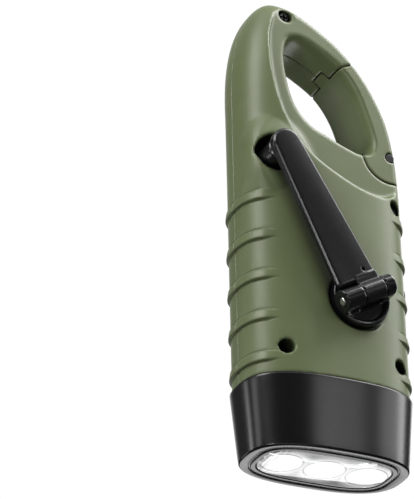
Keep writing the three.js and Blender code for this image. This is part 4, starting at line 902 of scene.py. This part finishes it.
def solar_film(name):
    """Copper coloured thin film behind a clear sheet, with light lines between its strips."""
    look = Look(name)
    parts = look.add("SeparateXYZ", {"Vector": look.place})
    strip = look.math("DIVIDE", look.math("SUBTRACT", parts.outputs["Z"], CELL_FOOT * MM), CELL_PITCH * MM)
    place = look.math("FRACT", look.plus(strip, 100.0))
    from_line = look.math("ABSOLUTE", look.math("SUBTRACT", place, 0.5))
    line = look.span(from_line, 0.02, 0.05, 1.0, 0.0)
    fade = look.span(parts.outputs["Z"], 34 * MM, 77 * MM)
    mottle = look.span(look.noise(5, 4, 0.6), 0.3, 0.7, 0.0, 0.25)
    film = look.mix(look.plus(fade, mottle, clamp=True), srgb(196, 158, 146), srgb(150, 122, 113))
    tone = look.mix(look.times(line, 0.75), film, srgb(216, 190, 180))
    rough = look.plus(0.2, look.times(look.noise(1.5, 4, 0.6, shift=4.0), 0.14))
    normal = look.bump(look.noise(9, 2, 0.5), 0.02, look.rounded(0.2))
    return look.principled({
        "Base Color": tone, "Roughness": rough, "Normal": normal, "Coat Weight": 0.7, "Coat Roughness": 0.06,
        "Metallic": 0.15,
    })


def window_with_painted_glow(name):
    """The clear window, with the light of three lit LEDs behind it painted on as the window's own glow, and
    painted grey shade streaks at its left end.
    """
    look = Look(name)
    parts = look.add("SeparateXYZ", {"Vector": look.place})
    x, y = parts.outputs["X"], parts.outputs["Y"]
    flat = look.add("CombineXYZ", {"X": x, "Y": y}).outputs["Vector"]
    # Painted glow: a bright pool round each LED, with a faint darker ring where its reflector cup's rim
    # shows, given out by the window itself as emission.
    painted_beam = None
    for led_x in (-LED_PITCH, 0.0, LED_PITCH):
        gap = look.measure("DISTANCE", flat, (led_x * MM, 0, 0))
        glow = look.span(gap, 4.2 * MM, 11 * MM, 1.0, 0.35)
        from_rim = look.math("ABSOLUTE", look.math("SUBTRACT", gap, 6.3 * MM))
        rim = look.span(from_rim, 0.1 * MM, 0.5 * MM, 0.4, 0.0)
        glow = look.math("SUBTRACT", glow, rim)
        painted_beam = glow if painted_beam is None else look.math("MAXIMUM", painted_beam, glow)
    # Painted shade: stretched grey streaks over the window's left end, taken off the painted glow.
    streak = look.noise(3, 3, 0.55, stretch=(0.35, 2.6, 1), shift=2.0)
    left = look.span(x, -20.5 * MM, -13 * MM, 1.0, 0.0)
    shade = look.times(left, look.span(streak, 0.42, 0.6))
    painted_beam = look.math("SUBTRACT", painted_beam, look.times(shade, 0.45), clamp=True)
    power = look.times(painted_beam, 1.25)
    lit = look.add("Emission", {"Color": (1, 1, 1, 1), "Strength": power})
    dust = look.span(look.noise(0.8, 5, 0.7), 0.55, 0.8)
    shine = look.add("BsdfGlossy", {
        "Color": (1, 1, 1, 1), "Roughness": look.plus(0.04, look.times(dust, 0.15)),
        "Normal": look.bump(look.noise(6, 2, 0.5), 0.01),
    })
    through = look.add("BsdfTransparent", {"Color": (0.96, 0.97, 0.98, 1)})
    share = look.plus(look.add("Fresnel", {"IOR": 1.45}).outputs[0],
                      look.times(dust, 0.03), clamp=True)
    veil = look.blend(look.times(painted_beam, 0.85), through, lit)
    return look.finish(look.blend(share, veil, shine))


OLIVE = srgb(97, 108, 72)
looks = {
    # The olive plastic gets painted shade in hollows and under nearby parts, out to 11 mm.
    "olive": moulded("olive_plastic", OLIVE, 0.42, wear=srgb(112, 122, 92), skin=True, painted_shade_reach=11.0),
    "cap": moulded("gloss_charcoal", srgb(14, 14, 15), 0.26, 6e-4, srgb(50, 50, 54), skin=True, patchy=0.03),
    "satin": moulded("satin_black", srgb(13, 13, 15), 0.25, 0.0015, srgb(70, 70, 74), skin=True, patchy=0.03),
    "gloss": moulded("gloss_black", srgb(16, 16, 18), 0.16, 0.001, srgb(80, 80, 84), skin=True, patchy=0.03),
    "plain": moulded("plain_black", srgb(22, 22, 24), 0.3, wear=srgb(80, 80, 84)),
    "rubber": moulded("button_rubber", srgb(30, 30, 31), 0.6, grain_depth=0.02),
    "frame": moulded("panel_grey", srgb(70, 70, 75), 0.3, wear=srgb(120, 120, 124), skin=True),
    "cell": solar_film("solar_film"),
    "nylon": moulded("white_nylon", srgb(225, 222, 212), 0.45),
    "board": moulded("board_green", srgb(30, 88, 52), 0.4),
    "wrap": moulded("battery_sleeve", srgb(40, 140, 84), 0.3),
    "steel": metal("bright_steel", (0.62, 0.63, 0.65, 1), 0.22),
    "chrome": metal("chromed_pin", (0.75, 0.76, 0.78, 1), 0.1, skin=True),
    "oxide": metal("black_oxide", (0.03, 0.03, 0.032, 1), 0.45),
    "dark_steel": metal("dark_steel", (0.2, 0.2, 0.21, 1), 0.32),
    "copper": metal("copper_winding", (0.72, 0.34, 0.15, 1), 0.35),
    "brass": metal("sintered_brass", (0.66, 0.47, 0.2, 1), 0.35),
    "mirror": metal("mirrored_cups", (0.9, 0.91, 0.93, 1), 0.06),
    "led": glowing("lit_led", (1.0, 1.0, 0.97, 1.0), 8.0),
    # The front window glows with painted LED light and carries painted grey shade streaks.
    "window": window_with_painted_glow("window_with_painted_glow"),
}
wearers = {
    "olive": ("front_shell", "rear_shell", "gate"), "cap": ("head_cap",), "window": ("front_lens",),
    "frame": ("solar_frame",), "cell": ("solar_cell",), "gloss": ("crank_hub",), "chrome": ("hinge_pin",),
    "satin": ("crank_arm", "knob"), "rubber": ("power_button",), "plain": ("gate_pin", "button_switch"),
    "oxide": ("shell_screw_top", "shell_screw_gate", "shell_screw_left", "shell_screw_right"),
    "steel": ("gear_plate", "idler_axle", "gate_spring", "knob_axle"), "brass": ("shaft_bush",),
    "nylon": ("drive_gear", "idler_gear"), "copper": ("generator_stator",),
    "dark_steel": ("generator_rotor",), "board": ("led_board", "circuit_board"), "wrap": ("battery",),
    "led": ("led_1", "led_2", "led_3"), "mirror": ("reflector",),
}
for look, names in wearers.items():
    for name in names:
        mesh = nodes[name].data
        mesh.materials.clear()
        mesh.materials.append(looks[look])
        mesh.set_sharp_from_angle(angle=math.radians(50 if look in ("led", "mirror") else 30))

for name, field_of, side in (("rear_skin", rear_field, -1), ("front_skin", front_field, 1)):
    axes = spread(-29.2, 29.2, SHELL_STEP), parted(side), up_the_body()
    node, slot = ("rear_shell", "body_rear") if side < 0 else ("front_shell", "body_front")
    moulding(name, field_of, axes, "housing", node, slot, looks["olive"])
moulding("gate_skin", gate_field, (spread(2, 29.2, 0.3), spread(-13, 13, 0.3), spread(94.5, 141, 0.3)),
         "gate_body", "gate", "gate", looks["olive"])
moulding("frame_skin", frame_field,
         (spread(-17.4, 17.4, 0.3), spread(14.4, 17.7, 0.14), spread(27.4, 86.4, 0.3)),
         "housing", "solar_frame", "panel_frame", looks["frame"])
moulding("arm_skin", arm_field, (spread(-9.6, 6.6, 0.24), spread(-3.8, 3.8, 0.19), spread(-3.8, 57.3, 0.24)),
         "arm", "crank_arm", "arm", looks["satin"], tilted=True)
moulding("hub_skin", hub_field,
         (spread(-10.2, 10.2, 0.22), spread(-3.8, 18.1, 0.22), spread(-9.8, 9.8, 0.22)),
         "crank", "crank_hub", "hub", looks["gloss"], tilted=True)
moulding("knob_skin", knob_field,
         (spread(-4.8, 4.8, 0.22), spread(1.9, 18.3, 0.22), spread(46.9, 56.7, 0.22)),
         "knob_body", "knob", "knob", looks["satin"], tilted=True)
moulding("pin_skin", pin_field, (spread(-10.2, 9.8, 0.16), spread(-1.6, 1.6, 0.16), spread(-1.6, 1.6, 0.16)),
         "crank", "hinge_pin", "pin", looks["chrome"], tilted=True)
piece("cap_skin", *lofted(cap_rings(), True), "housing", "head_cap", "cap", looks["cap"])
window = piece("lens_skin", *lofted(lens_rings(), False), "housing", "front_lens", "lens", looks["window"])
window.data.set_sharp_from_angle(angle=math.radians(40))


# The photo's camera in degrees, millimetres of lens and millimetres of place, and the lights' aim in metres
VIEW_ANGLES, VIEW_LENS, VIEW_PLACE = (-25.1242, -28.0383, -1.1138), 191.314, (-335.077, -636.23, -308.373)
VIEW_WAY, AIM = (0.375, 0.799, 0.47), (0, 0, 0.075)


def stage():
    """A pale floor that is seen only from above and has no part in the lighting."""
    bpy.ops.mesh.primitive_plane_add(size=6, location=(0, 0, -0.3 * MM))
    floor = bpy.context.object
    floor.name = "floor"
    look = Look("pale_floor")
    grain = look.noise(40, 4, 0.6)
    tone = look.mix(look.span(grain, 0.3, 0.7), (0.78, 0.78, 0.78, 1), (0.82, 0.82, 0.81, 1))
    solid = look.add("BsdfPrincipled", {"Base Color": tone, "Roughness": 0.7})
    under = look.add("BsdfTransparent")
    side = look.add("NewGeometry").outputs["Backfacing"]
    floor.data.materials.append(look.finish(look.blend(side, solid, under)))
    floor.visible_shadow = False
    floor.visible_diffuse = False
    floor.visible_glossy = False
    floor.visible_transmission = False


def softbox(name, azimuth, elevation, away, size, radiance):
    """A rectangular light aimed at the middle of the part; azimuth 0 is along +X."""
    data = bpy.data.lights.new(name, "AREA")
    data.shape = "RECTANGLE"
    data.size, data.size_y = size
    data.energy = radiance * math.pi * size[0] * size[1]
    lamp = placed(name, data)
    turn, rise = math.radians(azimuth), math.radians(elevation)
    way = Vector((math.cos(rise) * math.cos(turn), math.cos(rise) * math.sin(turn), math.sin(rise)))
    lamp.location = Vector(AIM) + away * way
    lamp.rotation_euler = (-way).to_track_quat("-Z", "Y").to_euler()
    lamp.visible_camera = False


def studio():
    """Light from all round, brightest behind the part as the camera sees it, and the soft boxes."""
    world = bpy.data.worlds.new("studio")
    bpy.context.scene.world = world
    world.use_nodes = True
    tree = world.node_tree
    background = tree.nodes["Background"]
    where = tree.nodes.new("ShaderNodeTexCoord").outputs["Generated"]

    def glow(direction, low, high, start, end):
        aim = tree.nodes.new("ShaderNodeVectorMath")
        aim.operation = "DOT_PRODUCT"
        tree.links.new(where, aim.inputs[0])
        aim.inputs[1].default_value = direction
        ramp = tree.nodes.new("ShaderNodeMapRange")
        ramp.interpolation_type = "SMOOTHSTEP"
        tree.links.new(aim.outputs["Value"], ramp.inputs["Value"])
        for key, value in (("From Min", low), ("From Max", high), ("To Min", start), ("To Max", end)):
            ramp.inputs[key].default_value = value
        return ramp.outputs["Result"]

    total = tree.nodes.new("ShaderNodeMath")
    total.operation = "ADD"
    tree.links.new(glow(VIEW_WAY, 0.8, 0.975, 0.07, 1.02), total.inputs[0])
    tree.links.new(glow((0, 0, 1), 0.5, 0.95, 0.0, 0.5), total.inputs[1])
    background.inputs["Color"].default_value = (1, 1, 1, 1)
    tree.links.new(total.outputs[0], background.inputs["Strength"])
    for box in (
        ("cap_left", 146, 8, 1.0, (0.16, 0.26), 6.0),
        ("cap_side", 176, 10, 1.0, (0.3, 0.22), 2.8),
        ("arm_side", 126, -8, 1.0, (0.2, 0.24), 2.5),
        ("body_left", -160, 36, 0.95, (0.46, 0.5), 8.0),
        ("cap_front", -69, 10, 1.0, (0.32, 0.2), 3.0),
        ("cap_right", -38, 12, 1.0, (0.36, 0.2), 3.0),
        ("right_strip", -16, 24, 0.95, (0.28, 0.7), 6.5),
        ("back_right", 42, 25, 1.0, (0.5, 0.8), 1.8),
        ("key_high", -32, 54, 1.0, (0.6, 0.45), 11.5),
        ("arm_sheen", -70, 38, 1.0, (0.12, 0.12), 2.0),
        ("top_front", -125, 66, 1.0, (0.8, 0.4), 1.5),
        ("low_front", -100, -42, 1.0, (0.8, 0.4), 1.2),
        ("bevel_left", -145, -12, 1.0, (0.3, 0.2), 12.0),
        ("under", 65, -30, 1.0, (0.7, 0.5), 2.8),
    ):
        softbox(*box)


def camera():
    """The photo's camera, as fitted to the outline, the ribs, the head and the crank."""
    azimuth, elevation, roll = map(math.radians, VIEW_ANGLES)
    back = Vector((math.sin(azimuth) * math.cos(elevation), -math.cos(azimuth) * math.cos(elevation),
                   math.sin(elevation)))
    right = Vector((math.cos(azimuth), math.sin(azimuth), 0.0))
    up = back.cross(right)
    if up.z < 0:
        up = -up
    across = math.cos(roll) * right + math.sin(roll) * up
    upright = -math.sin(roll) * right + math.cos(roll) * up
    data = bpy.data.cameras.new("camera")
    data.lens = VIEW_LENS
    data.sensor_width = 36
    data.clip_start = 0.01
    data.clip_end = 20
    view = placed("camera", data)
    turned = Matrix((across, upright, back)).transposed().to_4x4()
    view.matrix_world = Matrix.Translation(Vector(VIEW_PLACE) * MM) @ turned
    bpy.context.scene.camera = view


stage()
studio()
camera()
bpy.context.scene.view_settings.view_transform = "Standard"
